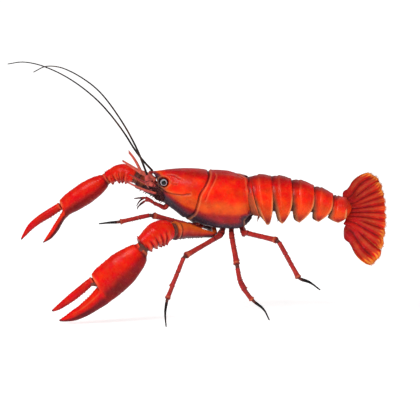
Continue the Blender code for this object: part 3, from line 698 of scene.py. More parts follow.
@dataclass
class Track:
    """A limb's line, with its half width and half thickness all the way along.

    A flattened limb, such as a claw, keeps one set of axes: along it, across it and through it.
    """

    places: np.ndarray
    line: np.ndarray
    wide: np.ndarray
    thin: np.ndarray
    axes: np.ndarray | None = None
    guide: np.ndarray = field(default_factory=lambda: UP)

    @staticmethod
    def of(node: str, start: Sequence[float], flat: bool = False) -> "Track":
        """Measures a solid.

        Args:
            node: The solid.
            start: A point near the end to start from.
            flat: Whether the limb is flattened, with all of its sections parallel.

        Returns:
            The track.
        """
        found = rings(node, start)
        line = np.array([ring.mean(0) for ring in found])
        if not flat:
            size = np.array([np.linalg.norm(ring - c, axis=1).mean() for ring, c in zip(found, line)])
            return Track(lengths(line), line, size, size)
        spans = [np.linalg.svd(ring - c) for ring, c in zip(found, line)]
        across, through, ahead = max(spans, key=lambda s: s[1][0])[2]
        if ahead @ (line[-1] - line[0]) < 0:
            ahead = -ahead
        wide, thin = (np.array([abs((ring - c) @ way).max() for ring, c in zip(found, line)])
                      for way in (across, through))
        return Track((line - line[0]) @ ahead, line, wide, thin, np.array((ahead, across, through)))

    @property
    def length(self) -> float:
        """How long the limb is."""
        return float(self.places[-1])

    def part(self, low: float, high: float, grow: float = 1.0, stations: int = 14) -> "Track":
        """The track between two shares of its length, run on straight beyond its ends where asked.

        Args:
            low: The share where it begins.
            high: The share where it ends.
            grow: How much stouter it becomes.
            stations: How many places measure it.

        Returns:
            The new track.
        """
        where = np.linspace(low, high, stations) * self.length
        line, _, _, wide, thin = self.measure(where)
        return Track(where - where[0] if self.axes is not None else lengths(line), line, grow * wide,
                     grow * thin, self.axes, self.guide)

    def rooted(self, x: float, y: float, z: float) -> "Track":
        """The track begun further back, at this many millimetres from its first point.

        Args:
            x: How far back along X.
            y: How far along Y.
            z: How far up.

        Returns:
            The longer track.
        """
        line = np.vstack([self.line[0] + np.array((x, y, z)) * MM, self.line])
        return Track(lengths(line), line, *(np.concatenate([v[:1], v]) for v in (self.wide, self.thin)),
                     self.axes, self.guide)

    def measure(self, where: np.ndarray) -> tuple[np.ndarray, ...]:
        """Measures the limb at some places along it.

        Args:
            where: The places.

        Returns:
            The line's points, the two directions across it, its half width and its half thickness.
        """
        firm = self.axes is not None
        line = along_curve(self.line, self.places, where, firm)
        wide, thin = (along_curve(v, self.places, where, firm)[:, 0] for v in (self.wide, self.thin))
        if not firm:
            ahead = unit(np.gradient(line, where, axis=0))
            side = unit(np.cross(ahead, self.guide))
            return line, side, np.cross(side, ahead), wide, thin
        across = (self.line - self.line[0]) @ self.axes[1]
        low, high = (along_curve(across + sign * self.wide, self.places, where, True)[:, 0]
                     for sign in (-1, 1))
        move = (low + high) / 2 - (line - self.line[0]) @ self.axes[1]
        line = line + move[:, None] * self.axes[1]
        return line, self.axes[1] + 0 * line, self.axes[2] + 0 * line, (high - low) / 2, thin

    def spot(self, share: float, way: Sequence[float]) -> tuple[np.ndarray, np.ndarray]:
        """The point on the limb that faces a way at a share of its length, with its outward direction.

        Args:
            share: The share of the length.
            way: The way that it faces.

        Returns:
            The point and its outward direction.
        """
        where = np.array((share - 0.01, share, share + 0.01)) * self.length
        line, side, other, wide, thin = (v[1] for v in self.measure(where))
        turn = math.atan2(np.dot(way, other) * thin, np.dot(way, side) * wide)
        out = unit(math.cos(turn) * side / wide + math.sin(turn) * other / thin)
        return line + wide * math.cos(turn) * side + thin * math.sin(turn) * other, out

    def stud(self, share: float, way: Sequence[float], tall_mm: float, radius_mm: float, sunk_mm: float,
             tone: float, blunt: float, dark: float = 0.0, sides: int = 8,
             lean: Sequence[float] = (0.0, 0.0, 0.0)) -> Skin:
        """A tooth, spine or knob that stands on the limb.

        Args:
            share: Where along the limb it stands.
            way: The way that its side of the limb faces.
            tall_mm: How far it stands out.
            radius_mm: Its foot's radius.
            sunk_mm: How deep its foot lies in the shell.
            tone: Its tone.
            blunt: 0 for a sharp spine and 1 for a dome.
            dark: How dark its tip is.
            sides: How many sides it has.
            lean: How it leans from straight out, as a share of its height.

        Returns:
            The knob as a closed mesh.
        """
        spot, out = self.spot(share, way)
        tip = spot + (out + np.array(lean)) * tall_mm * MM
        return knob(spot - out * sunk_mm * MM, tip, radius_mm * MM, tone, blunt, dark, sides)

    def skin(self, rows: int, columns: int, relief: "Relief", shade_and_stains: "Relief", square: float = 1.0,
             dome: tuple[float, float] = (0.7, 0.7)) -> Skin:
        """Clothes the track in shell.

        Args:
            rows: How many rows of points run along it.
            columns: How many points stand around it.
            relief: Gives the height added, in millimetres.
            shade_and_stains: Gives tone, dark and pale.
            square: Below 1 for a boxier section.
            dome: How long the rounded ends are, as shares of the radius there.

        Returns:
            The limb's shell.
        """
        steps = np.linspace(0, 1, rows)
        ease = steps - 0.055 * np.sin(2 * math.pi * steps)
        where = ease * self.length
        line, side, other, wide, thin = self.measure(where)
        ends = np.ones(rows)
        for reach, size, share in ((where, wide[0], dome[0]), (self.length - where, wide[-1], dome[1])):
            span = max(size * share, 1e-6)
            ends = np.minimum(ends, np.sqrt(1 - (1 - np.clip(reach / span, 0.0, 1)) ** 2 * 0.995))
        turns = np.arange(columns) * 2 * math.pi / columns
        share, turn = np.meshgrid(ease, turns, indexing="ij")
        cos, sin = np.cos(turns)[None, :, None], np.sin(turns)[None, :, None]
        out = unit(side[:, None] * cos / wide[:, None, None] + other[:, None] * sin / thin[:, None, None])
        shape = (side[:, None] * np.sign(cos) * abs(cos) ** square * (wide * ends)[:, None, None]
                 + other[:, None] * np.sign(sin) * abs(sin) ** square * (thin * ends)[:, None, None])
        place = Place(share, turn, out, line[:, None] + shape)
        grid = place.points + out * (relief(place) * ends[:, None] * MM)[..., None]
        tone, dark, pale = (np.broadcast_to(v, share.shape) for v in shade_and_stains(place))
        return grid_skin(grid, tone, dark, pale)


@dataclass
class Place:
    """Where points lie on a limb: the share along it, the turn around it, and the way out."""

    share: np.ndarray
    turn: np.ndarray
    out: np.ndarray
    points: np.ndarray

    def facing(self, *way: float) -> np.ndarray:
        """How directly each point faces a way, from -1 to 1."""
        return self.out @ unit(np.array(way))

    def clouds(self, size_mm: float, seed: float = 0.0) -> np.ndarray:
        """Soft random values from -1 to 1 at the points."""
        return clouds(self.points.reshape(-1, 3), size_mm, seed).reshape(self.share.shape)


Relief = Callable[[Place], object]


def subdivided(node: str, levels: int, crease: float) -> tuple[Skin, np.ndarray, np.ndarray]:
    """A solid's smooth skin, made by subdividing it.

    Args:
        node: The solid.
        levels: How many times each face is divided.
        crease: How firmly its sharp edges hold, from 0 to 1.

    Returns:
        The skin, the normal at each of its points, and points all along the solid's sharp edges.
    """
    mesh = bmesh.new()
    mesh.from_mesh(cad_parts[node].data)
    bmesh.ops.remove_doubles(mesh, verts=mesh.verts, dist=SAME_POINT)
    layer = mesh.edges.layers.float.new("crease_edge")
    sharp = [e for e in mesh.edges if len(e.link_faces) == 2 and e.calc_face_angle() > SHARP]
    rim = []
    for edge in sharp:
        edge[layer] = crease
        a, b = (np.array(v.co) for v in edge.verts)
        count = max(2, int(np.linalg.norm(b - a) / RIM_STEP))
        rim += [a + (b - a) * k / count for k in range(count + 1)]
    bmesh.ops.join_triangles(mesh, faces=mesh.faces, angle_face_threshold=NEARLY_FLAT,
                             angle_shape_threshold=ANY_SHAPE)
    data = bpy.data.meshes.new("draft")
    mesh.to_mesh(data)
    mesh.free()
    draft = bpy.data.objects.new("draft", data)
    bpy.context.scene.collection.objects.link(draft)
    smooth = draft.modifiers.new("smooth", "SUBSURF")
    smooth.levels = smooth.render_levels = levels
    shown = draft.evaluated_get(bpy.context.evaluated_depsgraph_get()).to_mesh()
    points = np.empty(len(shown.vertices) * 3, np.float32)
    shown.vertices.foreach_get("co", points)
    normals = np.empty(len(shown.vertices) * 3, np.float32)
    shown.vertex_normals.foreach_get("vector", normals)
    faces = [tuple(face.vertices) for face in shown.polygons]
    bpy.data.objects.remove(draft)
    points = points.reshape(-1, 3).astype(float)
    none = np.zeros(len(points))
    skin = Skin(points, faces, none, none.copy(), none.copy())
    return skin, normals.reshape(-1, 3).astype(float), np.array(rim)


def distances(points: np.ndarray, targets: np.ndarray) -> np.ndarray:
    """How far each point is from the nearest target, in millimetres.

    Args:
        points: The points.
        targets: The places that they may be near.

    Returns:
        One distance for each point.
    """
    tree = KDTree(len(targets))
    for k, target in enumerate(targets):
        tree.insert(target, k)
    tree.balance()
    return np.array([tree.find(p)[2] for p in points]) / MM


def edges_by(turn: np.ndarray, reach: np.ndarray, bins: int) -> tuple[np.ndarray, np.ndarray, np.ndarray]:
    """The lowest and highest reach in each bin of turn, with the bins' middles.

    Args:
        turn: The value that is cut into bins.
        reach: The value that is measured in each.
        bins: How many bins there are.

    Returns:
        The middles, the lowest reaches and the highest reaches.
    """
    marks = np.linspace(turn.min(), turn.max(), bins + 1)
    which = np.clip(np.digitize(turn, marks) - 1, 0, bins - 1)
    kept = [k for k in range(bins) if (which == k).any()]
    middles = (marks[:-1] + marks[1:])[kept] / 2
    return middles, np.array([reach[which == k].min() for k in kept]), np.array(
        [reach[which == k].max() for k in kept])


def corners(node: str) -> tuple[np.ndarray, np.ndarray]:
    """The low and the high corner of a solid's box."""
    low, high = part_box(node)
    return np.array(low), np.array(high)


def middle_of(*nodes: str) -> np.ndarray:
    """The middle of the box around some solids.

    Args:
        nodes: The solids.

    Returns:
        The middle.
    """
    lows, highs = zip(*(corners(node) for node in nodes))
    return (np.min(lows, axis=0) + np.max(highs, axis=0)) / 2


# ---------------------------------------------------------------------------- the head and thorax


@dataclass
class SeamLine:
    """A line drawn on the carapace's side, as shares of its length and its height."""

    path: tuple[tuple[float, float], ...]
    depth_mm: float
    width_mm: float
    lip_mm: float = 0.0
    # How dark the groove is painted, as painted shade.
    groove_shade: float = 0.8

    def measure(self, x: np.ndarray, z: np.ndarray, length: float,
                height: float) -> tuple[np.ndarray, np.ndarray]:
        """The distance from the line in millimetres, and the same counted as negative ahead of it.

        Args:
            x: How far back points lie from the shell's front.
            z: How high they lie over its lowest point.
            length: The shell's length.
            height: The shell's height.

        Returns:
            Both distances.
        """
        knots = np.array(self.path) * (length, height)
        at = np.linspace(0, len(knots) - 1, 60)
        fine = along_curve(knots, np.arange(len(knots), dtype=float), at)
        best = np.full(x.shape, FAR_AWAY)
        sign = np.ones(x.shape)
        for px, pz in fine:
            away = np.hypot(x - px, z - pz)
            nearer = away < best
            best = np.where(nearer, away, best)
            sign = np.where(nearer, np.sign(x - px), sign)
        return best / MM, best * sign / MM


@dataclass
class Carapace:
    """The shell of the head and thorax, with its rostrum, orbits, grooves and rolled margin."""

    rows: int = 236
    columns: int = 200
    axis_share: float = 0.5
    smoothing: int = 90
    seams: tuple[SeamLine, ...] = (
        SeamLine(((0.545, 1.02), (0.558, 0.95), (0.562, 0.90), (0.530, 0.765), (0.476, 0.61), (0.456, 0.47),
                  (0.430, 0.32), (0.392, 0.25), (0.325, 0.19)), 0.85, 0.55, 0.32, 0.95),
        SeamLine(((0.622, 0.90), (0.600, 0.81), (0.572, 0.72), (0.545, 0.62), (0.526, 0.53)),
                 0.28, 0.42, 0.22, 0.35),
        SeamLine(((0.096, 0.70), (0.130, 0.65), (0.178, 0.615), (0.286, 0.595), (0.385, 0.62)),
                 0.45, 0.45, 0.2, 0.75),
        SeamLine(((0.165, 0.905), (0.23, 0.90), (0.295, 0.855)), 0.16, 0.32, 0.10, 0.45),
        SeamLine(((0.185, 0.81), (0.215, 0.775), (0.255, 0.765)), 0.14, 0.30, 0.08, 0.35),
        SeamLine(((0.16, 0.955), (0.24, 0.965), (0.33, 0.955)), -0.25, 0.8, 0.0, 0.0))
    # How wide the painted shade along the lower margin is.
    underside_shade_mm: float = 5.2
    rim_mm: float = 0.3
    rear_rim_mm: float = 0.22
    orbit_mm: float = 0.55
    socket_mm: float = 0.5
    head_half_mm: float = 3.0
    axis: np.ndarray = field(init=False)

    def build(self) -> None:
        """Builds and dresses the shell, with the spines on it."""
        grid = self.surface()
        low, high = corners("carapace")
        length, height = high[0] - low[0], high[2] - low[2]
        x, z = grid[..., 0] - low[0], grid[..., 2] - low[2]
        y = abs(grid[..., 1] - (low[1] + high[1]) / 2) / MM
        ways = grid - self.axis
        ways = unit(ways - ways * np.array((0.85, 0, 0)))
        relief, dark, pale = np.zeros(x.shape), np.zeros(x.shape), np.zeros(x.shape)
        for seam in self.seams:
            away, signed = seam.measure(x, z, length, height)
            relief -= seam.depth_mm * bump(away, 0, seam.width_mm)
            relief += seam.lip_mm * bump(signed, seam.width_mm * 2.1, seam.width_mm)
            # Painted shade in each groove and a painted highlight on the lip behind it.
            dark += seam.groove_shade * bump(away, 0, seam.width_mm * 0.85)
            pale += 1.2 * seam.lip_mm * bump(signed, seam.width_mm * 2.0, seam.width_mm * 0.8)
        eye = middle_of("left_eye") - low
        eye_low, eye_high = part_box("left_eye")
        eye_radius = (eye_high.x - eye_low.x) / 2 / MM
        round_eye = np.hypot(x - eye[0], (z - eye[2]) * 1.12) / MM
        outside = y > self.head_half_mm
        relief += outside * self.orbit_mm * bump(round_eye, eye_radius + 1.15, 0.5)
        relief -= outside * self.socket_mm * (1 - step(round_eye, eye_radius * 0.6, eye_radius + 0.6))
        # Painted shade in the eye socket and a painted highlight on the orbit's rim.
        dark += outside * 0.95 * (1 - step(round_eye, eye_radius + 0.25, eye_radius + 0.85))
        pale += outside * 0.35 * bump(round_eye, eye_radius + 1.35, 0.4)
        margin = self.margin_distance(x, z)
        rear = (1 - np.linspace(0, 1, self.rows))[:, None] * length / MM * np.ones(x.shape)
        relief -= 0.25 * bump(margin, 2.3, 0.6) * (x / length > 0.1)
        relief += self.rim_mm * bump(margin, 0.9, 0.8)
        relief -= 0.28 * bump(rear, 2.6, 0.5)
        relief += self.rear_rim_mm * bump(rear, 1.2, 0.7)
        # Painted shade along the rear edge and a painted highlight on the rear rim.
        dark += 0.55 * bump(rear, 0.0, 0.5)
        pale += 0.3 * bump(rear, 1.3, 0.5)
        on_back = step(z / height, 0.86, 0.95) * step(x / length, 0.58, 0.64)
        relief -= on_back * 0.25 * bump(y, 1.7, 0.35)
        points = grid.reshape(-1, 3)
        broad = clouds(points, 7.0).reshape(x.shape)
        fine = clouds(points, 1.1, 5.0).reshape(x.shape)
        rough = step(-x / length, -0.56, -0.30) * step(-z / height, -0.9, -0.6)
        relief += 0.10 * broad + 0.03 * fine + rough * 0.16 * np.clip(fine - 0.15, 0, 1) * 2
        tone = self.tone(x, z, margin, broad)
        spot = np.hypot(x - eye[0] + 1.6 * MM, z - eye[2] + 4.4 * MM) / MM
        pale += outside * 0.5 * bump(spot, 0.0, 1.0)
        shell = grid + ways * (relief * MM)[..., None]
        middle = self.axis[-1]
        inward = [middle + (shell[-1] - middle) * share + np.array((shift * MM, 0, 0))
                  for share, shift in ((0.985, 0.10), (0.965, -0.05), (0.95, -0.6), (0.93, -2.0))]
        shell = np.vstack([shell, np.array(inward)])
        tone, pale = (np.vstack([v, v[-1:].repeat(4, 0)]) for v in (tone, pale))
        # The rows turned in at the rear are dark: painted shade inside the shell's opening.
        dark = np.vstack([dark, np.array((0.3, 0.8, 1.0, 1.0))[:, None] * np.ones((1, self.columns))])
        shell = grid_skin(shell, tone, dark, pale)
        shell = shell.plus(*self.spines(grid, low, length, height))
        shell.make("carapace_shell", CARAPACE, Slot.SHELL, ["carapace"])

    def surface(self) -> np.ndarray:
        """The shell's smooth surface, found by looking out from its axis at the solid.

        Returns:
            Points by row from the rostrum to the rear and column around from the back.
        """
        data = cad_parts["carapace"].data
        tree = BVHTree.FromPolygons([v.co for v in data.vertices], [p.vertices for p in data.polygons])
        low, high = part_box("carapace")
        middle = (low.y + high.y) / 2
        points, _ = solid("carapace")
        top_rear = points[points[:, 2] > high.z - 0.2 * (high.z - low.z)][:, 0].max()
        lean = high.x - top_rear
        marks, _, rear = edges_by(points[:, 2], points[:, 0], 10)
        shares = np.linspace(0, 1, self.rows)
        inset = 0.15 * MM
        xs = low.x + inset + (top_rear - low.x - 2 * inset) * shares
        turns = np.arange(self.columns) * 2 * math.pi / self.columns
        radius = np.full((self.rows, self.columns), 10 * MM)
        origins, ways = [], np.zeros((self.rows, self.columns, 3))
        for i, x in enumerate(xs):
            back = shares[i] ** 3
            top = tree.ray_cast(Vector((x, middle, 1.0)), Vector((0, 0, -1)))[0]
            floor = tree.ray_cast(Vector((x + lean * back * 0.6, middle, -1.0)), Vector((0, 0, 1)))[0]
            height = top.z * self.axis_share + floor.z * (1 - self.axis_share)
            shift = back * (np.interp(height, marks, rear) - top_rear)
            origin = Vector((x + shift, middle, height))
            origins.append(origin)
            for j, turn in enumerate(turns):
                for _ in range(3):
                    place = height + radius[i, j] * math.cos(turn)
                    bend = back * (np.interp(place, marks, rear) - top_rear) - shift
                    way = Vector((bend / radius[i, j], math.sin(turn), math.cos(turn))).normalized()
                    hit = tree.ray_cast(origin, way)[0]
                    radius[i, j] = (hit - origin).length if hit else radius[max(i - 1, 0), j]
                ways[i, j] = way
        origins = np.array(origins)
        self.axis = origins[:, None]
        firm = step(abs(np.cos(turns)) * (np.cos(turns) < 0), 0.72, 0.9)
        loose = 0.24 * (1 - 0.93 * firm)[None] * (0.25 + 0.75 * step(shares, 0.02, 0.16))[:, None]
        loose[-3:] *= 0.2
        for _ in range(self.smoothing):
            radius += loose * (np.roll(radius, 1, 1) + np.roll(radius, -1, 1) - 2 * radius)
        grid = origins[:, None] + ways * radius[..., None]
        for _ in range(self.smoothing):
            between = (grid[:-2] + grid[2:]) / 2
            grid[1:-1, :, 1:] += 2 * loose[1:-1, :, None] * (between - grid[1:-1])[..., 1:]
        return grid

    @staticmethod
    def margin_distance(x: np.ndarray, z: np.ndarray) -> np.ndarray:
        """How far points of the side are from the lower margin, in millimetres, as seen from the side.

        Args:
            x: How far back the points lie.
            z: How high they lie.

        Returns:
            One distance for each point.
        """
        lowest = z.argmin(axis=1)
        rows = np.arange(int(len(x) * 0.06), len(x))
        line = np.stack([x[rows, lowest[rows]], z[rows, lowest[rows]]], 1)
        last = np.stack([x[-1], z[-1]], 1)
        line = np.vstack([line, last[last[:, 1] < 0.30 * z.max()]])
        best = np.full(x.shape, FAR_AWAY)
        for px, pz in line:
            best = np.minimum(best, np.hypot(x - px, z - pz))
        return best / MM

    def tone(self, x: np.ndarray, z: np.ndarray, margin: np.ndarray, broad: np.ndarray) -> np.ndarray:
        """The shell's tone: red on the back, an orange band low on the side, then crimson and a grey band
        along the lower margin, both painted shade where the side curves under.

        Args:
            x: How far back the points lie.
            z: How high they lie.
            margin: How far they are from the lower margin, in millimetres.
            broad: Soft random values that make the bands uneven.

        Returns:
            One tone for each point.
        """
        floor = z.min(axis=1, keepdims=True)
        top = np.maximum(z.max(axis=1, keepdims=True), floor + 4 * MM)
        drop = np.clip((top - z) / (top - floor), 0, 1)
        wavy = drop + 0.02 * broad
        red = 0.38 * step(wavy, 0.0, 0.36)
        orange = 0.24 * step(wavy, 0.42, 0.66)
        crimson = 0.15 * step(wavy, 0.66, 0.82)
        cheek = 1 - step(x / x.max(), 0.02, 0.16)
        tone = red + orange * (1 - 0.5 * cheek) + crimson
        # Painted shade: a grey band along the lower margin, where the side turns under.
        wide = self.underside_shade_mm * (1.0 - 0.35 * step(x / x.max(), 0.45, 0.8))
        underside_shade = 1 - step((margin + 0.5 * broad) / wide, 0.12, 1.35)
        return tone + (0.95 - tone) * underside_shade

    def spines(self, grid: np.ndarray, low: np.ndarray, length: float, height: float) -> list[Skin]:
        """The rostrum's teeth, the spines behind the eyes and the small ones along the cheeks.

        Args:
            grid: The shell's points.
            low: The low corner of its box.
            length: Its length.
            height: Its height.

        Returns:
            The spines.
        """
        found = []
        middle = grid[:, :, 1].mean()
        for side in Side:
            for share, lift, reach in ((0.165, 0.95, 0.8), (0.085, 0.62, 0.6), (0.425, 0.52, 0.6)):
                row = int(share * (self.rows - 1))
                ring = grid[row]
                wanted = low[2] + lift * height
                half = [p for p in ring if (p[1] - middle) * side.sign > 0]
                foot = min(half, key=lambda p: abs(p[2] - wanted))
                out = unit(np.array((0, (foot[1] - middle), (foot[2] - self.axis[row, 0, 2]) * 0.6)))
                tip = foot + (out * 0.55 + np.array((-0.8, 0, 0.1))) * reach * MM
                found.append(knob(foot - out * 0.35 * MM, tip, 0.42 * MM * reach, 0.45, 0.2))
        return found


@dataclass
class Eye:
    """An eyeball on its short stalk: a dark cornea ringed with pale grey."""

    side: Side
    rows: int = 26
    columns: int = 40

    def build(self) -> None:
        """Turns the eyeball about its own axis and dresses it."""
        node = f"{self.side.value}_eye"
        low, high = corners(node)
        middle = (low + high) / 2
        radius, reach = (high[0] - low[0]) / 2, high[1] - low[1]
        inner = low[1] if self.side is Side.RIGHT else high[1]
        shares = np.linspace(0, 1, self.rows)
        swell = np.where(shares < 0.3, 0.62 + 0.38 * step(shares, 0.0, 0.3),
                         np.sqrt(np.clip(1 - ((shares - 0.3) / 0.72) ** 2, 0, 1)))
        turns = np.arange(self.columns) * 2 * math.pi / self.columns
        ring = np.stack([np.cos(turns), np.zeros(self.columns), np.sin(turns)], 1)
        centre = np.array((middle[0], inner, middle[2]))
        grid = (centre + np.array((0, self.side.sign * reach, 0)) * shares[:, None, None]
                + ring * (swell * radius)[:, None, None])
        tone = np.where(shares < 0.3, 1.0, swell)[:, None] * np.ones((1, self.columns))
        none = np.zeros(tone.shape)
        grid_skin(grid, tone, none, none).make(node + "ball", EYE, Slot.EYE, [node])


# ---------------------------------------------------------------------------- the tail


@dataclass
class Tail:
    """The tail's six plates over its flesh, with swimmerets under it."""

    plates: int = 6
    levels: int = 3
    hair_mm: float = 0.9
    hair_radius_mm: float = 0.05
    fold_mm: float = 1.3
    tuck_mm: tuple[float, float] = (1.5, 0.75)
    first_tuck_mm: tuple[float, float] = (2.4, 0.4)
    swimmeret_mm: tuple[float, float] = (6.5, 1.5)

    def build(self) -> None:
        """Builds the flesh, every plate and the swimmerets."""
        self.flesh()
        self.neck()
        for number in range(1, self.plates + 1):
            self.plate(number)
        self.stump()
        self.swimmerets()

    def flesh(self) -> None:
        """The flesh and joint skin under the plates, folded across at each joint."""
        skin, normals, _ = subdivided("tail_core", 3, 0.2)
        x = skin.points[:, 0] / MM
        skin.points += normals * (0.14 * np.sin(x * 2 * math.pi / self.fold_mm) * MM)[:, None]
        skin.tone = 0.72 + 0.2 * np.sin(x * 2 * math.pi / self.fold_mm)
        skin.make("tail_flesh", SKIN, Slot.FLESH, ["tail_core"])

    def neck(self) -> None:
        """The folded skin that joins the first plate to the thorax inside the shell's rear edge."""
        low, high = corners("tail_plate_1")
        middle, half = (low + high) / 2, (high - low) / 2 * 0.88
        front = np.array((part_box("carapace")[1].x - 9.5 * MM, middle[1], middle[2] - 0.4 * MM))
        line = np.linspace(front, middle + (1.5 * MM, 0, 0), 8)
        track = Track(lengths(line), line, np.full(8, half[1]), np.full(8, half[2]))
        # Dark joint skin, darkened further as painted shadow under the shell's rear edge.
        track.skin(60, 48, lambda p: 0.22 * np.sin(p.share * 70), lambda p: (
            0.75 + 0.2 * np.sin(p.share * 70), 0.45, 0), dome=(0.3, 0.3)).make("tail_neck", SKIN, Slot.FLESH)

    def plate(self, number: int) -> None:
        """One plate: a ridge across it near its front, a rolled rim and a pleuron at each side.

        Args:
            number: Which plate it is, from the front.
        """
        node = f"tail_plate_{number}"
        skin, normals, rim = subdivided(node, self.levels, 0.8)
        points = skin.points
        low, high = corners(node)
        middle = (low + high) / 2
        turn = np.arctan2(points[:, 1] - middle[1], points[:, 2] - low[2] - 0.35 * (high[2] - low[2]))
        marks, front, back = edges_by(turn, points[:, 0], 40)
        start, end = np.interp(turn, marks, front), np.interp(turn, marks, back)
        along = (points[:, 0] - start) / np.maximum(end - start, 1e-6)
        edge = distances(points, rim)
        drop = np.clip((high[2] - points[:, 2]) / (high[2] - low[2]), 0, 1)
        outside = (((points - middle) * (0, 1, 1) * normals).sum(axis=1) > 0).astype(float)
        broad, fine = clouds(points, 5.0, number), clouds(points, 1.0, number + 9)
        wide = 1.0 if number > 1 else 0.0
        lift = 0.12 * bump(edge, 0.75, 0.45) - 0.10 * bump(edge, 1.6, 0.5)
        lift -= wide * 0.32 * bump(along, 0.24, 0.055) * (drop < 0.8)
        lift += wide * 0.16 * bump(along, 0.36, 0.09)
        lift += 0.05 * broad + 0.03 * fine
        tuck = 1 - step(along, 0.0, 0.16)
        skin.points = points + normals * (outside * lift * MM)[:, None]
        outward = unit((points - middle) * (0, 1, 1))
        if number > 1:
            ahead, inward = self.tuck_mm
        else:
            tuck = 1 - step(along, 0.0, 0.45)
            ahead, inward = self.first_tuck_mm
        skin.points = skin.points - tuck[:, None] * (np.array((ahead * MM, 0, 0)) + outward * inward * MM)
        # Painted shadow on each plate's front where the plate before overlaps it, and on the first plate's
        # front under the shell's rear edge. Painted shade along the top and bottom edges, in the tone and
        # the dark value, at the rear edge and on the inner faces. The pale rim and the pale band on the
        # ridge are painted highlights.
        skin.tone = 0.62 * step(drop, -0.1, 0.70) + 0.34 * step(drop, 0.72, 1.0) + 0.04 * broad
        overlap_shadow = (1 - step(along, 0.03, 0.20)) * (0.45 + 0.5 * step(drop, 0.15, 0.6))
        skin.dark = outside * (overlap_shadow * (number > 1) + 0.5 * bump(along, 1.02, 0.05))
        skin.dark += outside * (0.28 * (1 - step(drop, 0.0, 0.2)) + 0.25 * step(drop, 0.85, 1.0))
        skin.dark += (1 - outside) * 0.55
        skin.dark += outside * (1 - wide) * 0.6 * (1 - step(along, 0.15, 0.75))
        skin.pale = outside * ((0.3 + 0.55 * wide) * bump(edge, 0.32, 0.5) * step(drop, 0.25, 0.6)
                               + 0.12 * bump(along, 0.33, 0.06) * wide * (1 - step(drop, 0.4, 0.8)))
        skin.make(f"tail_shell_{number}", TAIL, Slot.TAIL_SHELL, [node])
        low_rim = rim[(rim[:, 2] < low[2] + 0.3 * (high[2] - low[2]))]
        picked = low_rim[::2]
        ways = unit((picked - middle) * np.array((0.5, 0.3, 1.0)) + np.array((0, 0, -3 * MM)))
        bristles(picked, ways, self.hair_mm * MM, self.hair_radius_mm * MM, 40 + number).make(
            f"tail_bristles_{number}", BRISTLE, Slot.TAIL_SHELL)

    def stump(self) -> None:
        """The soft end of the tail, which closes the last plate and carries the fan."""
        low, high = corners(f"tail_plate_{self.plates}")
        middle = (low + high) / 2
        half = (high - low) / 2
        line = np.linspace(middle - (half[0] * 0.3, 0, 0), middle + (half[0] + 2.6 * MM, 0, 0), 8)
        size = half[1] * np.array((0.80, 0.84, 0.86, 0.86, 0.84, 0.78, 0.66, 0.45))
        track = Track(lengths(line), line, size, size * half[2] / half[1])
        track.skin(40, 36, lambda p: 0.05 * np.sin(p.share * 40), lambda p: (
            0.34 - 0.2 * p.facing(0, 0, 1.0), 0.10, 0.05), dome=(0.2, 1.2)).make(
            "tail_stump", TAIL, Slot.TAIL_SHELL)

    def swimmerets(self) -> None:
        """Two rows of small soft blades that hang under the tail."""
        length, width = (v * MM for v in self.swimmeret_mm)
        parts = Skin.blank()
        for number in range(2, 6):
            low, high = corners(f"tail_plate_{number}")
            core_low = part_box("tail_core")[0].z
            x = (low[0] + high[0]) / 2 - 0.5 * MM
            for side in Side:
                root = np.array((x, (low[1] + high[1]) / 2 + side.sign * 3.4 * MM, core_low + 1.5 * MM))
                tip = root + np.array((-0.45, side.sign * 0.18, -0.8)) * length * 0.75
                steps = np.linspace(0, 1, 9)
                bow = np.outer(np.sin(steps * math.pi), (-0.6 * MM, 0, 0))
                line = root + (tip - root) * steps[:, None] + bow
                size = width * 0.5 * np.sin(np.clip(steps * 0.86 + 0.14, 0, 1) * math.pi) ** 0.6 + 0.1 * MM
                track = Track(lengths(line), line, size, size * 0.3, guide=np.array((1.0, 0.0, 0.3)))
                parts = parts.plus(track.skin(16, 12, lambda p: 0.05 * np.sin(p.share * 40),
                                              lambda p: (0.25 + 0.5 * p.share, 0, 0.3 * p.share)))
        parts.make("swimmerets", SKIN, Slot.FLESH)


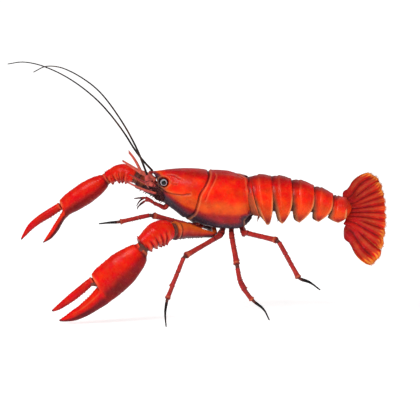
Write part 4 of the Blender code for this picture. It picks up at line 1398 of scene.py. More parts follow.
@dataclass
class TailFan:
    """The telson and the four uropod blades, ribbed and fringed."""

    lobes: dict[str, int] = field(default_factory=lambda: {
        "left_outer_uropod": 2, "left_inner_uropod": 2, "telson": 4, "right_inner_uropod": 2,
        "right_outer_uropod": 2})
    rib_mm: float = 0.42
    hair_mm: float = 1.5
    lie: np.ndarray = field(init=False)
    root: np.ndarray = field(init=False)

    def build(self) -> None:
        """Finds how the fan lies, then builds each blade."""
        telson, _ = solid("telson")
        tail_end = middle_of("tail_plate_6")
        across = unit(middle_of("right_inner_uropod") - middle_of("left_inner_uropod"))
        ahead = telson.mean(0) - tail_end
        ahead = unit(ahead - across * (ahead @ across))
        self.lie = np.array((ahead, across, np.cross(ahead, across)))
        near = telson[np.argsort(telson @ ahead)[:26]]
        self.root = near.mean(0) - ahead * 5.5 * MM
        for node, lobes in self.lobes.items():
            self.blade(node, lobes)

    def blade(self, node: str, lobes: int) -> None:
        """One blade: round ribs, fine lines between them, a bright rim and a fringe of hairs.

        Args:
            node: The solid that it stands for.
            lobes: How many round ribs it has.
        """
        skin, normals, rim = subdivided(node, 3, 0.3)
        place = (skin.points - self.root) @ self.lie.T
        reach = np.hypot(place[:, 0], place[:, 1])
        angle = np.arctan2(place[:, 1], place[:, 0])
        marks, first, last = edges_by(reach, angle, 18)
        a, b = np.interp(reach, marks, first), np.interp(reach, marks, last)
        across = np.clip((angle - a) / np.maximum(b - a, 1e-6), 0, 1)
        rim_marks, starts, ends = edges_by(angle, reach, 14)
        r0, r1 = np.interp(angle, rim_marks, starts), np.interp(angle, rim_marks, ends)
        share = np.clip((reach - r0) / np.maximum(r1 - r0, 1e-6), 0, 1)
        up = normals @ self.lie[2]
        face = np.sign(up) * step(abs(up), 0.3, 0.8)
        wave = across * lobes
        ridge = abs(np.sin(math.pi * wave))
        fine = np.cos(2 * math.pi * wave * 3)
        broad = clouds(skin.points, 4.0, len(node))
        fade = step(share, 0.0, 0.18) * (1 - 0.5 * step(share, 0.8, 1.0))
        lift = self.rib_mm * (ridge - 0.55) * fade + 0.05 * fine * fade + 0.04 * broad
        lift += 0.25 * bump(share, 0.62, 0.02) * ("outer" in node)
        spread = (across - 0.5) * (1.1 + 1.5 * (1 - step(share, 0.1, 0.5))) * MM / reach
        turned = np.stack([reach * np.cos(angle + spread), reach * np.sin(angle + spread), place[:, 2]], 1)
        lifted = {"telson": 0.2, "left_inner_uropod": 0.0, "right_inner_uropod": 0.0}.get(node, -0.2)
        turned[:, 2] += lifted * MM
        turned[:, 0] -= 2.2 * MM * (1 - step(share, 0.0, 0.2))
        skin.points = self.root + turned @ self.lie + self.lie[2] * (face * lift * MM)[:, None]
        # Painted shade in the valleys between the ribs and at the root under the last plate, and painted
        # highlights on the ribs.
        valley_shade = 1 - step(ridge, 0.08, 0.42)
        outer_lobes = 0.35 if node == "telson" else 1.0
        skin.tone = 0.18 + 0.30 * share + (0.16 + 0.36 * outer_lobes) * step(
            share + 0.05 * fine + 0.06 * broad, 0.78, 0.98)
        skin.tone += 0.12 * (ridge - 0.5) + 0.04 * fine
        skin.dark = 0.62 * valley_shade * step(share, 0.03, 0.12) * (1 - 0.75 * step(share, 0.86, 0.97))
        skin.dark += 0.35 * (1 - step(share, 0.0, 0.08))
        skin.pale = 0.14 * bump(ridge, 1.0, 0.16) * step(share, 0.15, 0.5) + 0.3 * step(share, 0.95, 1.0)
        skin.make(node + "_blade", FAN, Slot.TAIL_SHELL, [node])
        spots = (rim - self.root) @ self.lie.T
        rim_reach, rim_angle = np.hypot(spots[:, 0], spots[:, 1]), np.arctan2(spots[:, 1], spots[:, 0])
        outer = rim[rim_reach > 0.90 * np.interp(rim_angle, rim_marks, ends)]
        ways = unit(outer - self.root)
        inset = outer - ways * 0.35 * MM
        fringe = bristles(np.repeat(inset, 2, 0), np.repeat(ways, 2, 0), self.hair_mm * MM, 0.055 * MM,
                          len(node))
        fringe.make(node + "_fringe", BRISTLE, Slot.TAIL_SHELL)


# ---------------------------------------------------------------------------- limbs


def joint_ball(before: Track, after: Track, size: float, rings_shown: int = 3) -> Skin:
    """The soft folded skin between two parts of a limb.

    Args:
        before: The part nearer the body.
        after: The part beyond the joint.
        size: The skin's radius, as a share of the smaller end.
        rings_shown: How many folds it has.

    Returns:
        The skin, which reaches into both parts.
    """
    a, b = before.line[-1], after.line[0]
    radius = (before.wide[-1] + after.wide[0]) / 2 * size
    thin = (before.thin[-1] + after.thin[0]) / 2 * size
    reach_in = radius * 0.7
    start = a - unit(before.line[-1] - before.line[-2]) * reach_in
    end = b + unit(after.line[1] - after.line[0]) * reach_in
    steps = np.linspace(0, 1, 9)[:, None]
    line = (1 - steps) ** 2 * start + 2 * steps * (1 - steps) * (a + b) / 2 + steps ** 2 * end
    track = Track(lengths(line), line, np.full(9, radius), np.full(9, max(thin, radius * 0.6)))
    return track.skin(22, 18, lambda p: -0.12 * radius / MM * abs(np.sin(p.share * math.pi * rings_shown)),
                      lambda p: (0.55 + 0.4 * abs(np.cos(p.share * math.pi * rings_shown)), 0.2, 0.08))


@dataclass
class Leg:
    """A walking leg: thigh and shin with collars at the joints, and a thin dark toe."""

    side: Side
    number: int
    collar_mm: float = 0.30

    def build(self) -> None:
        """Builds the thigh, the shin, the toe and the skin of the joints."""
        name = f"{self.side.value}_leg{self.number}"
        thigh = Track.of(f"{name}_thigh", middle_of("sternum"))
        shin = Track.of(f"{name}_shin", thigh.line[-1])
        toe = Track.of(f"{name}_toe", shin.line[-1])
        self.dress(thigh, f"{name}_thigh", (0.0, 0.16, 0.34), 0.45)
        self.dress(shin, f"{name}_shin", (0.36,), 0.0)
        toe.skin(34, 16, lambda p: 0.03 * p.clouds(0.8),
                 lambda p: (0.15 + 0.85 * step(p.share, 0.0, 0.22), 0, 0), dome=(0.8, 1.0)).make(
            f"{name}_horn", HORN, Slot.DARK_TIP, [f"{name}_toe"])
        skin = joint_ball(thigh, shin, 0.78).plus(joint_ball(shin, toe, 0.8))
        skin.make(f"{name}_joint_skin", SKIN, Slot.FLESH)

    def dress(self, track: Track, node: str, joints: Sequence[float], root_shade: float) -> None:
        """Clothes one part of the leg.

        Args:
            track: The part's line.
            node: The solid it stands for.
            joints: Where the smaller joints lie, as shares of its length.
            root_shade: How dark its root is.
        """
        size = track.wide.mean() / MM
        seed = self.number * 3 + self.side.sign

        def relief(p: Place) -> np.ndarray:
            """Collars, waists and grain.

            Args:
                p: The places on the limb.

            Returns:
                The height added, in millimetres.
            """
            lift = self.collar_mm * (bump(p.share, 0.965, 0.03) + 0.7 * bump(p.share, 0.02, 0.03))
            for at in joints:
                lift = lift - 0.20 * size * bump(p.share, at, 0.012) + 0.14 * bump(p.share, at - 0.035, 0.02)
            lift = lift + 0.07 * p.clouds(2.2, seed) + 0.03 * p.clouds(0.7, seed)
            return lift - 0.10 * bump(p.share, 0.6, 0.35)

        def shade_and_stains(p: Place) -> tuple[np.ndarray, np.ndarray, np.ndarray]:
            """Lighter facing the key lamp and browner away from it, as painted light and shade; dark at the
            joints, and painted shade at the root where the leg leaves the body.

            Args:
                p: The places on the limb.

            Returns:
                The tone, dark and pale values.
            """
            tone = 0.36 - 0.42 * p.facing(-0.4, -0.5, 0.8) + 0.12 * p.clouds(3.0, seed)
            dark = 0.75 * bump(p.share, 1.0, 0.018) + 0.5 * bump(p.share, 0.0, 0.02)
            for at in joints:
                dark = dark + 0.75 * bump(p.share, at, 0.012)
            # Painted shade at the root, where the leg goes in under the shell.
            dark = dark + root_shade * (1 - step(p.share, 0.12, 0.36))
            return tone, dark, 0.35 * bump(p.share, 0.955, 0.02)

        skin = track.skin(72, 20, relief, shade_and_stains, dome=(0.8, 0.45))
        chance = random.Random(seed * 7 + len(node))
        for at, count in ((0.965, 7), (0.62, 4), (0.45, 3)):
            for k in range(count):
                turn = (k + chance.uniform(-0.2, 0.2)) * 2 * math.pi / count
                way = np.array((math.cos(turn), math.sin(turn), math.sin(turn + 1.2)))
                tall = 0.42 if at > 0.9 else 0.26
                skin = skin.plus(track.stud(at + chance.uniform(-0.02, 0.02), way, tall, 0.26, 0.15,
                                            0.55, 0.5, 0.4, 6))
        skin.make(f"{node}_shell", LEG, Slot.LIMB_SHELL, [node])


@dataclass
class ClawArm:
    """An arm with its claw: arm, knobbed wrist, palm with a fixed finger, and movable finger."""

    side: Side

    def build(self) -> None:
        """Builds every part of the arm, from the chest out."""
        name = self.side.value
        merus = Track.of(f"{name}_merus", middle_of("sternum"))
        carpus = Track.of(f"{name}_carpus", merus.line[-1])
        palm = Track.of(f"{name}_palm", carpus.line[-1], flat=True)
        finger = Track.of(f"{name}_dactyl", carpus.line[-1], flat=True)
        self.merus(merus.part(0.0, 1.02))
        self.carpus(carpus.part(-0.05, 1.11))
        self.palm(palm.part(-0.03, 1.0, stations=90), finger)
        skin = joint_ball(merus, carpus, 0.88).plus(joint_ball(carpus, palm, 0.94, 2))
        skin.plus(joint_ball(palm.part(0.3, 0.49, 0.5), finger, 0.8, 2)).make(
            f"{name}_arm_joint_skin", SKIN, Slot.FLESH)

    def merus(self, track: Track) -> None:
        """The upper arm: orange above and grey beneath as painted light and shade, with two dark joint lines
        near its end.

        Args:
            track: Its line.
        """
        far = self.side is Side.RIGHT

        def relief(p: Place) -> np.ndarray:
            """A collar, a groove behind it and low grain.

            Args:
                p: The places on the limb.

            Returns:
                The height added, in millimetres.
            """
            lift = 0.35 * bump(p.share, 0.965, 0.03) - 0.32 * bump(p.share, 0.90, 0.012)
            lift = lift - 0.3 * bump(p.share, 0.17, 0.02) + 0.14 * p.clouds(3.2) + 0.05 * p.clouds(0.9)
            return lift + 0.25 * bump(p.facing(0.2, -0.85, 0.5), 0.86, 0.05) * step(p.share, 0.3, 0.6)

        def shade_and_stains(p: Place) -> tuple[np.ndarray, np.ndarray, np.ndarray]:
            """Painted light and shade in bands from its upper side down.

            Args:
                p: The places on the limb.

            Returns:
                The tone, dark and pale values.
            """
            tone = 0.50 - 0.58 * p.facing(-0.15, -0.2, 1.0) + 0.07 * p.clouds(4.0)
            # Darker towards the root as painted shade near the body, in the tone here and the dark value
            # below.
            tone = tone + 0.25 * (1 - step(p.share, 0.25, 0.5))
            dark = 0.9 * bump(p.share, 0.90, 0.014) + 0.8 * bump(p.share, 0.99, 0.014)
            dark = dark + 0.4 * (1 - step(p.share, 0.1, 0.3))
            # Painted shadow over the far arm's inner side.
            if far:
                tone = tone + 0.25 * step(p.facing(0.0, -1.0, -0.5), -0.2, 0.3)
                dark = dark + 0.72 * step(p.facing(0.0, -1.0, -0.5), -0.2, 0.3)
            return tone, dark, 0.35 * bump(p.share, 0.935, 0.016)

        node = f"{self.side.value}_merus"
        skin = track.skin(90, 44, relief, shade_and_stains, dome=(0.8, 0.35))
        for k in range(9):
            at = (0.64 + 0.035 * k) if far else (0.42 + 0.055 * k)
            for way, tall in (((0.1, -0.35, -1.0), 1.3 if far else 0.6), ((0.1, 0.5, -0.9), 0.6)):
                skin = skin.plus(track.stud(at + 0.01 * math.sin(k * 2.3), way, tall, 0.38, 0.3, 0.75, 0.2,
                                            0.7, lean=0.5 * unit(track.line[-1] - track.line[0])))
        skin.make(f"{node}_shell", ARM, Slot.CLAW_SHELL, [node])

    def carpus(self, track: Track) -> None:
        """The wrist: a round bulb whose lower side is folded into stout ridges.

        Args:
            track: Its line.
        """
        near = self.side is Side.LEFT
        ridged = (0.55, -0.42, -0.72) if near else (0.05, -0.62, -0.78)
        spots = np.linspace(0.26, 0.86, 5 if near else 4)

        def window(p: Place) -> np.ndarray:
            """The side that the ridges lie on."""
            return step(p.facing(*ridged), 0.30, 0.72)

        def relief(p: Place) -> np.ndarray:
            """Ridges with deep lines between them, a collar and low pimples.

            Args:
                p: The places on the limb.

            Returns:
                The height added, in millimetres.
            """
            folds = sum(bump(p.share, at, 0.045) for at in spots)
            cuts = sum(bump(p.share, at + 0.075, 0.014) for at in spots)
            lift = window(p) * (0.85 * folds - 0.45 * cuts) + 0.18 * p.clouds(3.4)
            pimples = np.clip(p.clouds(1.5, 4.0) - 0.25, 0, 1) * (1 - window(p))
            return lift + 0.45 * pimples + 0.25 * bump(p.share, 0.97, 0.02) + 0.04 * p.clouds(0.7)

        def shade_and_stains(p: Place) -> tuple[np.ndarray, np.ndarray, np.ndarray]:
            """Bright red, lighter facing the key lamp, darker low down and in the folds and paler on the
            ridges: painted light, shade and highlights.

            Args:
                p: The places on the limb.

            Returns:
                The tone, dark and pale values.
            """
            folds = sum(bump(p.share, at, 0.03) for at in spots)
            cuts = sum(bump(p.share, at + 0.075, 0.013) for at in spots)
            tone = 0.30 - 0.30 * p.facing(-0.5, -0.4, 0.75) + 0.08 * p.clouds(3.0)
            dark = window(p) * 0.85 * cuts + 0.8 * bump(p.share, 0.0, 0.04) + 0.9 * bump(p.share, 1.0, 0.045)
            dark = dark + 0.32 * step(p.facing(0.2, -0.1, -1.0), 0.35, 0.9)
            pale = 0.22 * window(p) * folds + 0.35 * np.clip(p.clouds(1.5, 4.0) - 0.3, 0, 1)
            return tone, dark, pale

        node = f"{self.side.value}_carpus"
        skin = track.skin(110, 72, relief, shade_and_stains, dome=(0.45, 0.3))
        for at in spots:
            for turn, tall in ((0.0, 1.5), (0.9, 1.2)):
                way = np.array(ridged) + np.array((0.25, 0.3, -0.4)) + turn * np.array((-0.1, 0.5, 0.1))
                skin = skin.plus(track.stud(at, way, tall, 0.95, 0.4, 0.62, 0.85, 0.6, 12))
        for at, way in ((0.93, (-0.9, -0.2, 0.3)), (0.93, (-0.6, 0.6, 0.4)), (0.55, (-0.5, 0.8, 0.5))):
            skin = skin.plus(track.stud(at, way, 1.3, 0.5, 0.2, 0.5, 0.3, 0.5))
        skin.make(f"{node}_shell", CLAW, Slot.CLAW_SHELL, [node])

    def palm(self, track: Track, finger: Track) -> None:
        """The palm with its fixed finger, and the movable finger beside it.

        Args:
            track: The palm's line.
            finger: The movable finger's line.
        """
        name = self.side.value
        inward = track.axes[1] * np.sign((finger.line[4] - track.line[-4]) @ track.axes[1])
        face = track.axes[2] * -np.sign(track.axes[2][1])
        notch = float(track.places[np.argmax(-np.diff(track.wide)) + 1] / track.length)

        def relief(p: Place) -> np.ndarray:
            """A collar at the wrist, pimples on the palm, and a ridge with two grooves on the finger.

            Args:
                p: The places on the limb.

            Returns:
                The height added, in millimetres.
            """
            on_finger = step(p.share, notch, notch + 0.06)
            toward, flat = p.facing(*inward), p.facing(*face)
            across = np.cos(p.turn)
            lift = 0.30 * bump(p.share, 0.012, 0.014) - 0.25 * bump(p.share, 0.042, 0.012)
            lift = lift + 0.16 * p.clouds(5.0, 2.0) + 0.05 * p.clouds(0.8)
            lift = lift + (1 - on_finger) * 0.42 * np.clip(p.clouds(1.7, 8.0) - 0.3, 0, 1)
            groove = bump(across, 0.42, 0.10) + bump(across, -0.42, 0.10)
            groove = groove * (1 - step(p.share, 0.86, 0.97)) * step(abs(flat), 0.3, 0.7)
            lift = lift - on_finger * 0.30 * groove
            return lift + 0.28 * bump(p.share, notch - 0.028, 0.016) * step(toward, 0.1, 0.5)

        def shade_and_stains(p: Place) -> tuple[np.ndarray, np.ndarray, np.ndarray]:
            """Painted light towards the movable finger and painted shade, deep red, towards the outer edge.

            Args:
                p: The places on the limb.

            Returns:
                The tone, dark and pale values.
            """
            toward = p.facing(*inward)
            shade = np.cos(p.turn) * np.sign(inward @ track.axes[1])
            on_finger = step(p.share, notch, notch + 0.05)
            tone = 0.02 + 0.80 * step(0.12 * p.clouds(7.0, 3.0) - shade, -0.35, 0.55)
            tone = tone + on_finger * 0.18 * (step(-shade, -0.25, -0.10) - 0.5)
            dark = 0.85 * step(p.share, 0.962, 0.99) + 0.8 * bump(p.share, 0.0, 0.012) + 0.55 * bump(
                p.share, 0.042, 0.010)
            # Painted shade in the crotch at the notch.
            dark = dark + 0.75 * bump(p.share, notch + 0.004, 0.012) * step(toward, 0.2, 0.6)
            # Painted highlights on the ridge by the notch, along the fixed finger and on the wrist collar.
            pale = 0.55 * bump(p.share, notch - 0.024, 0.010) * step(toward, 0.0, 0.4)
            pale = pale + 0.22 * on_finger * bump(shade, 0.30, 0.10) * (1 - step(p.share, 0.7, 0.95))
            return tone, dark, pale + 0.3 * bump(p.share, 0.018, 0.012) + 0.16 * np.clip(
                p.clouds(1.7, 8.0) - 0.35, 0, 1) * (p.share < notch)

        skin = track.skin(170, 64, relief, shade_and_stains, square=0.9, dome=(0.18, 1.0))
        skin = skin.plus(*self.teeth(track, inward, (notch + 0.055, 0.985), 15, (0.34, 0.22, 0.28), 0.52))
        for k in range(8):
            skin = skin.plus(track.stud(0.07 + (notch - 0.12) * k / 8, inward + 0.35 * face, 0.28, 0.6, 0.4,
                                        0.3, 0.9, sides=10))
        node = f"{name}_palm"
        skin.make(f"{node}_shell", CLAW, Slot.CLAW_SHELL, [node])
        self.finger(finger.part(-0.05, 1.0, stations=24), -inward)

    @staticmethod
    def teeth(track: Track, inward: np.ndarray, reach: tuple[float, float], count: int,
              heights_mm: Sequence[float], radius_mm: float) -> list[Skin]:
        """A row of low round teeth along a finger, smaller towards its tip.

        Args:
            track: The finger's line.
            inward: The way that the teeth face.
            reach: The shares of the line between which they stand.
            count: How many there are. The one at two sevenths of them stands out the most.
            heights_mm: Their heights, which repeat in turn.
            radius_mm: The first one's radius.

        Returns:
            The teeth.
        """
        found = []
        for k in range(count):
            share = k / count
            tall = heights_mm[k % len(heights_mm)] * (1.5 if k == count * 2 // 7 else 1) * (1 - 0.5 * share)
            found.append(track.stud(reach[0] + (reach[1] - reach[0]) * share, inward, tall,
                                    radius_mm * (1 - 0.4 * share), 0.35, 0.35, 0.8, sides=10))
        return found

    def finger(self, track: Track, inward: np.ndarray) -> None:
        """The movable finger, with its teeth towards the fixed one.

        Args:
            track: The finger's line.
            inward: The way towards the fixed finger.
        """

        def relief(p: Place) -> np.ndarray:
            """A root collar, two long grooves and pimples near the root.

            Args:
                p: The places on the limb.

            Returns:
                The height added, in millimetres.
            """
            across = np.cos(p.turn)
            groove = (bump(across, 0.45, 0.12) + bump(across, -0.45, 0.12)) * (1 - step(p.share, 0.8, 0.95))
            lift = 0.25 * bump(p.share, 0.03, 0.02) - 0.26 * groove * step(p.share, 0.08, 0.2)
            return lift + 0.05 * p.clouds(0.8) + 0.3 * np.clip(p.clouds(1.4, 3.0) - 0.3, 0, 1) * (
                1 - step(p.share, 0.3, 0.6))

        def shade_and_stains(p: Place) -> tuple[np.ndarray, np.ndarray, np.ndarray]:
            """Red, with painted shade on the side towards the fixed finger, and a dark tip and root.

            Args:
                p: The places on the limb.

            Returns:
                The tone, dark and pale values.
            """
            tone = 0.42 + 0.26 * p.facing(*inward) + 0.1 * p.clouds(5.0, 1.0)
            return tone, 0.85 * step(p.share, 0.945, 0.98) + 0.8 * bump(p.share, 0.0, 0.02), 0.25 * bump(
                p.share, 0.035, 0.02)

        skin = track.skin(96, 44, relief, shade_and_stains, square=0.9, dome=(0.4, 1.0))
        skin = skin.plus(*self.teeth(track, inward, (0.10, 0.93), 13, (0.32, 0.22, 0.26), 0.5))
        node = f"{self.side.value}_dactyl"
        skin.make(f"{node}_shell", CLAW, Slot.CLAW_SHELL, [node])


# ---------------------------------------------------------------------------- the front of the head


@dataclass
class HeadParts:
    """One side's feelers and mouth leg: antenna on its stalk, scale, antennule and maxilliped."""

    side: Side

    def build(self) -> None:
        """Builds each of them."""
        name = self.side.value
        head = middle_of(f"{name}_eye")
        stalk = Track.of(f"{name}_peduncle", head)
        antenna = Track.of(f"{name}_antenna", stalk.line[-1])
        self.stalk(stalk)
        self.antenna(antenna.part(-0.012, 1.0))
        self.scale(Track.of(f"{name}_antennal_scale", head))
        mouth_leg = Track.of(f"{name}_maxilliped", middle_of("sternum")).rooted(3.0, 0.0, 3.4)
        mouth_leg.wide, mouth_leg.thin = mouth_leg.wide * 0.8, mouth_leg.thin * 0.8
        self.maxilliped(mouth_leg)
        self.antennule(head)

    def antenna(self, track: Track) -> None:
        """The long whip, made of very many short rings.

        Args:
            track: Its line.
        """
        count = 150
        skin = track.skin(count * 3, 9, lambda p: 0.045 * np.cos(p.share * 2 * math.pi * count),
                          lambda p: (0.35 + 0.5 * step(p.share, 0.0, 0.08) + 0.1 * np.cos(
                              p.share * 2 * math.pi * count), 0, 0.12 * p.clouds(9.0)), dome=(1.0, 1.0))
        node = f"{self.side.value}_antenna"
        skin.make(f"{node}_whip", HORN, Slot.DARK_TIP, [node])

    def stalk(self, track: Track) -> None:
        """The antenna's stalk, in three pieces that stand in each other.

        Args:
            track: Its line.
        """
        cuts = (0.30, 0.66)

        def relief(p: Place) -> np.ndarray:
            """A waist at each joint and a collar beyond it.

            Args:
                p: The places on the limb.

            Returns:
                The height added, in millimetres.
            """
            lift = 0.06 * p.clouds(1.2) + 0.15 * bump(p.share, 0.97, 0.03)
            for at in cuts:
                lift = lift - 0.32 * bump(p.share, at, 0.018) + 0.20 * bump(p.share, at - 0.05, 0.03)
            return lift

        def shade_and_stains(p: Place) -> tuple[np.ndarray, np.ndarray, np.ndarray]:
            """Pink red, lighter facing the key lamp as painted light and shade, with dark joints."""
            dark = sum(0.9 * bump(p.share, at, 0.018) for at in cuts) + 0.8 * bump(p.share, 1.0, 0.03)
            return 0.35 - 0.3 * p.facing(-0.3, -0.5, 0.8), dark, 0.2 * bump(p.share, 0.5, 0.1)

        skin = track.part(-0.12, 1.0).skin(70, 22, relief, shade_and_stains)
        node = f"{self.side.value}_peduncle"
        for at, way in ((0.28, (-0.5, -0.6 * self.side.sign, 0.3)), (0.62, (-0.8, 0.4, -0.4)),
                        (0.5, (-0.2, self.side.sign, 0.2))):
            skin = skin.plus(track.stud(at, way, 0.8, 0.35, 0.2, 0.5, 0.2, 0.3, lean=(-0.6, 0, 0.4)))
        skin.make(f"{node}_shell", FEELER, Slot.FEELER, [node])

    def scale(self, track: Track) -> None:
        """The leaf-like scale beside the stalk: a thick outer edge, a thin leaf and a fringe.

        Args:
            track: Its line.
        """
        node = f"{self.side.value}_antennal_scale"
        track.wide = track.wide * 1.25
        track.thin = track.thin * 0.42
        track.guide = unit(np.array((0.1, -0.35 * self.side.sign, 1.0)))

        def relief(p: Place) -> np.ndarray:
            """A stout rib along the middle."""
            return 0.28 * bump(np.cos(p.turn), 0.0, 0.25) + 0.05 * p.clouds(1.0)

        skin = track.skin(60, 26, relief, lambda p: (
            0.30 + 0.35 * bump(np.cos(p.turn), 0.3, 0.2), 0.7 * bump(p.share, 0.0, 0.06) + 0.7 * step(
                p.share, 0.93, 1.0), 0.4 * bump(abs(np.cos(p.turn)), 1.0, 0.1)))
        skin.make(f"{node}_leaf", FEELER, Slot.FEELER, [node])
        roots, ways = [], []
        for at in np.linspace(0.35, 0.98, 46):
            spot, out = track.spot(at, (0.3, -0.3 * self.side.sign, -0.9))
            roots.append(spot)
            ways.append(out + unit(track.line[-1] - track.line[0]) * 0.8)
        bristles(np.array(roots), unit(np.array(ways)), 1.5 * MM, 0.05 * MM, 7).make(
            f"{node}_hair", BRISTLE, Slot.FEELER)

    def maxilliped(self, track: Track) -> None:
        """The mouth leg, with a short branch and dark tips.

        Args:
            track: Its line.
        """
        cuts = (0.50, 0.74)

        def relief(p: Place) -> np.ndarray:
            """Waists at the joints."""
            return sum(-0.25 * bump(p.share, at, 0.02) + 0.18 * bump(p.share, at - 0.04, 0.03)
                       for at in cuts) + 0.05 * p.clouds(1.0)

        def shade_and_stains(p: Place) -> tuple[np.ndarray, np.ndarray, np.ndarray]:
            """Red, lighter facing the key lamp as painted light and shade, with dark joints and a nearly
            black end.
            """
            return (0.35 - 0.3 * p.facing(-0.2, -0.6, 0.7),
                    sum(0.6 * bump(p.share, at, 0.02) for at in cuts) + 0.95 * step(p.share, 0.77, 0.84), 0)

        node = f"{self.side.value}_maxilliped"
        skin = track.skin(70, 18, relief, shade_and_stains, dome=(0.8, 1.0))
        steps = np.linspace(0, 1, 7)[:, None]
        start = along_curve(track.line, track.places, np.array((0.74, 0.78)) * track.length)[0]
        fork = start + np.array((-4.4, -0.4, -4.6)) * MM * steps + np.array((-0.5, 0, 0.5)) * MM * np.sin(
            steps * math.pi)
        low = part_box(node)[0]
        fork = np.maximum(fork, np.array((low.x, -1.0, low.z - 3.6 * MM)))
        thin = np.linspace(0.62, 0.2, 7) * MM
        branch = Track(lengths(fork), fork, thin, thin)
        skin = skin.plus(branch.skin(30, 12, lambda p: 0.03 * p.clouds(0.8), lambda p: (
            0.6, 0.95 * step(p.share, 0.1, 0.35), 0)))
        skin.make(f"{node}_shell", LEG, Slot.LIMB_SHELL, [node])

    def antennule(self, head: np.ndarray) -> None:
        """The short forked feeler: a jointed stem with two ringed whips.

        Args:
            head: The middle of the eye on this side.
        """
        node = f"{self.side.value}_antennule"
        points, _ = solid(node)
        top = points[np.argmax(points[:, 2])]
        front = points[np.argmin(points[:, 0] - points[:, 2] * 0.2)]
        order = np.argsort(np.linalg.norm(points - points[np.argmax(points[:, 0])], axis=1))
        root = points[order[:6]].mean(0)
        fork = root + (points[np.argmin(abs(points[:, 0] - (root[0] - 8.6 * MM)))] - root) * 0.98
        parts = []
        for end, sizes, bow in ((fork, (1.15, 0.9), 0.4), (top, (0.72, 0.3), 0.5),
                                (front, (0.62, 0.25), -0.5)):
            start = root if end is fork else fork + unit(root - fork) * 0.7 * MM
            steps = np.linspace(0, 1, 9)[:, None]
            line = start + (end - start) * steps + np.array((bow, 0, 0.3)) * MM * np.sin(steps * math.pi)
            size = np.linspace(*sizes, 9) * MM
            track = Track(lengths(line), line, size, size)
            whip = end is not fork
            # The tone, lighter facing the key lamp, is painted light and shade.
            parts.append(track.skin(110 if whip else 50, 14, self.rings_of(24 if whip else 3),
                                    lambda p: (0.35 - 0.25 * p.facing(-0.3, -0.6, 0.6), 0.25 * bump(
                                        p.share, 1.0, 0.1), 0.15)))
        parts[0].plus(*parts[1:]).make(f"{node}_shell", FEELER, Slot.FEELER, [node])

    @staticmethod
    def rings_of(count: int) -> Relief:
        """The relief of a limb with this many rings."""
        return lambda p: 0.07 * np.cos(p.share * 2 * math.pi * count)


@dataclass
class Underside:
    """The breastplate under the thorax, with the dark mouth parts ahead of it."""

    def build(self) -> None:
        """Builds and dresses the breastplate and the mouth parts."""
        skin, normals, _ = subdivided("sternum", 3, 0.3)
        low, high = corners("sternum")
        share = (skin.points[:, 0] - low[0]) / (high[0] - low[0])
        folds = abs(np.sin(share * math.pi * 5))
        middle = abs(skin.points[:, 1] - (low[1] + high[1]) / 2) / MM
        lift = -0.3 * (1 - step(folds, 0.0, 0.35)) - 0.3 * bump(middle, 0.0, 0.35)
        skin.points = skin.points + normals * (lift * MM)[:, None]
        skin.tone = 0.65 + 0.3 * (1 - folds) + 0.1 * clouds(skin.points, 2.0)
        skin.make("breastplate", SKIN, Slot.FLESH, ["sternum"])
        self.mouth()

    def mouth(self) -> None:
        """The dark crowd of small mouth parts between the stalks and the shell's lower front edge."""
        carapace_low, carapace_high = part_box("carapace")
        length = carapace_high.x - carapace_low.x
        height = carapace_high.z - carapace_low.z
        parts = Skin.blank()
        chance = random.Random(12)
        for side in Side:
            for k in range(9):
                share = k / 8
                start = np.array((carapace_low.x + (0.15 - 0.06 * share) * length,
                                  side.sign * (1.0 + 2.2 * share) * MM,
                                  carapace_low.z + (0.50 + 0.22 * share) * height))
                reach = chance.uniform(4.5, 7.0) * MM
                steps = np.linspace(0, 1, 7)[:, None]
                line = start + np.array((-0.95, side.sign * 0.12, 0.05)) * reach * steps
                line = line + np.array((0, 0, -0.7)) * MM * np.sin(steps * math.pi)
                size = np.linspace(1.0, 0.3, 7) * MM
                track = Track(lengths(line), line, size, size * 0.75)
                parts = parts.plus(track.skin(28, 14, lambda p: 0.12 * np.cos(p.share * 22),
                                              lambda p: (0.7 + 0.25 * p.share, 0.45, 0)))
        parts.make("mouth_parts", SKIN, Slot.FLESH)


# ---------------------------------------------------------------------------- studio


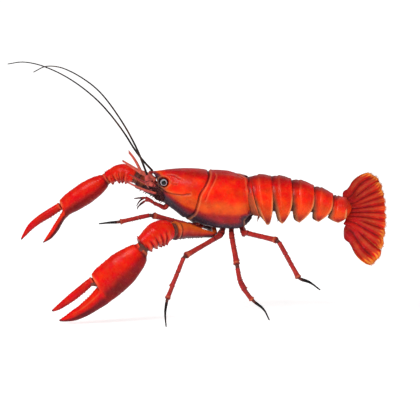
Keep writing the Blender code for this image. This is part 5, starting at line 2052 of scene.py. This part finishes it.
@dataclass
class Studio:
    """A pale floor, soft lights and the camera."""

    floor_size: float = 14.0
    floor_glow: float = 0.62
    sky_strength: float = 0.34
    sensor_mm: float = 36.0
    elevation: float = 8.0
    distance: float = 6.0
    lens: float = 960.0
    aim: tuple[float, float] = (0.0355, 0.419)
    lights: tuple[tuple[str, tuple[float, float, float], float, float], ...] = (
        ("key", (-0.9, -1.2, 1.5), 0.9, 21.0),
        ("fill", (1.5, -1.0, 0.7), 1.4, 5.0),
        ("back", (0.4, 1.4, 1.2), 1.2, 1.5))

    def build(self) -> None:
        """Sets everything up."""
        self.floor()
        self.world()
        middle = Vector((0, 0, 0.05))
        for name, place, size, power in self.lights:
            light = bpy.data.lights.new(name, "AREA")
            light.shape = "DISK"
            light.size = size
            light.energy = power
            lamp = bpy.data.objects.new(name, light)
            lamp.location = place
            lamp.rotation_euler = (middle - lamp.location).to_track_quat("-Z", "Y").to_euler()
            bpy.context.scene.collection.objects.link(lamp)
        self.camera()

    def floor(self) -> None:
        """A wide pale floor with the faintest grain."""
        mesh = bmesh.new()
        bmesh.ops.create_grid(mesh, x_segments=24, y_segments=24, size=self.floor_size / 2)
        data = bpy.data.meshes.new("studio_floor")
        mesh.to_mesh(data)
        mesh.free()
        n = Nodes("studio_paper")
        shade = n.ramp(n.noise(6.0, 3.0), ((0.3, (0.90, 0.90, 0.90)), (0.7, (0.93, 0.93, 0.93))))
        n.join(shade, n.shader.inputs["Base Color"])
        n.join(n.spread(n.noise(300.0, 3.0), 0.3, 0.7, 0.75, 0.95), n.shader.inputs["Roughness"])
        n.shader.inputs["Specular IOR Level"].default_value = 0.1
        n.shader.inputs["Emission Color"].default_value = (1.0, 1.0, 1.0, 1.0)
        n.shader.inputs["Emission Strength"].default_value = self.floor_glow
        data.materials.append(n.material)
        floor = bpy.data.objects.new("studio_floor", data)
        bpy.context.scene.collection.objects.link(floor)

    def world(self) -> None:
        """An even, nearly white sky."""
        world = bpy.data.worlds.new("studio_sky")
        world.use_nodes = True
        back = world.node_tree.nodes["Background"]
        back.inputs[0].default_value = (1.0, 1.0, 1.0, 1.0)
        back.inputs[1].default_value = self.sky_strength
        bpy.context.scene.world = world

    def camera(self) -> None:
        """The camera, level with the animal's side and a little above it."""
        size = CAD_HIGH - CAD_LOW
        aim = Vector((CAD_LOW.x + size.x * (0.5 + self.aim[0]), (CAD_LOW.y + CAD_HIGH.y) / 2,
                      CAD_LOW.z + size.z * self.aim[1]))
        tilt = math.radians(self.elevation)
        lens = bpy.data.cameras.new("studio_camera")
        lens.type = "PERSP"
        lens.lens = self.lens
        lens.sensor_width = self.sensor_mm
        eye = bpy.data.objects.new("studio_camera", lens)
        eye.location = aim + Vector((0, -math.cos(tilt), math.sin(tilt))) * self.distance
        eye.rotation_euler = (aim - eye.location).to_track_quat("-Z", "Y").to_euler()
        bpy.context.scene.collection.objects.link(eye)
        bpy.context.scene.camera = eye
        bpy.context.scene.view_settings.view_transform = "Standard"


def main() -> None:
    """Builds the whole animal, then the studio."""
    logging.basicConfig(level=logging.INFO, format="%(message)s")
    Studio().build()
    Carapace().build()
    Underside().build()
    Tail().build()
    TailFan().build()
    for side in Side:
        Eye(side).build()
        HeadParts(side).build()
        ClawArm(side).build()
        for number in range(1, 5):
            Leg(side, number).build()


if __name__ == "__main__":
    main()
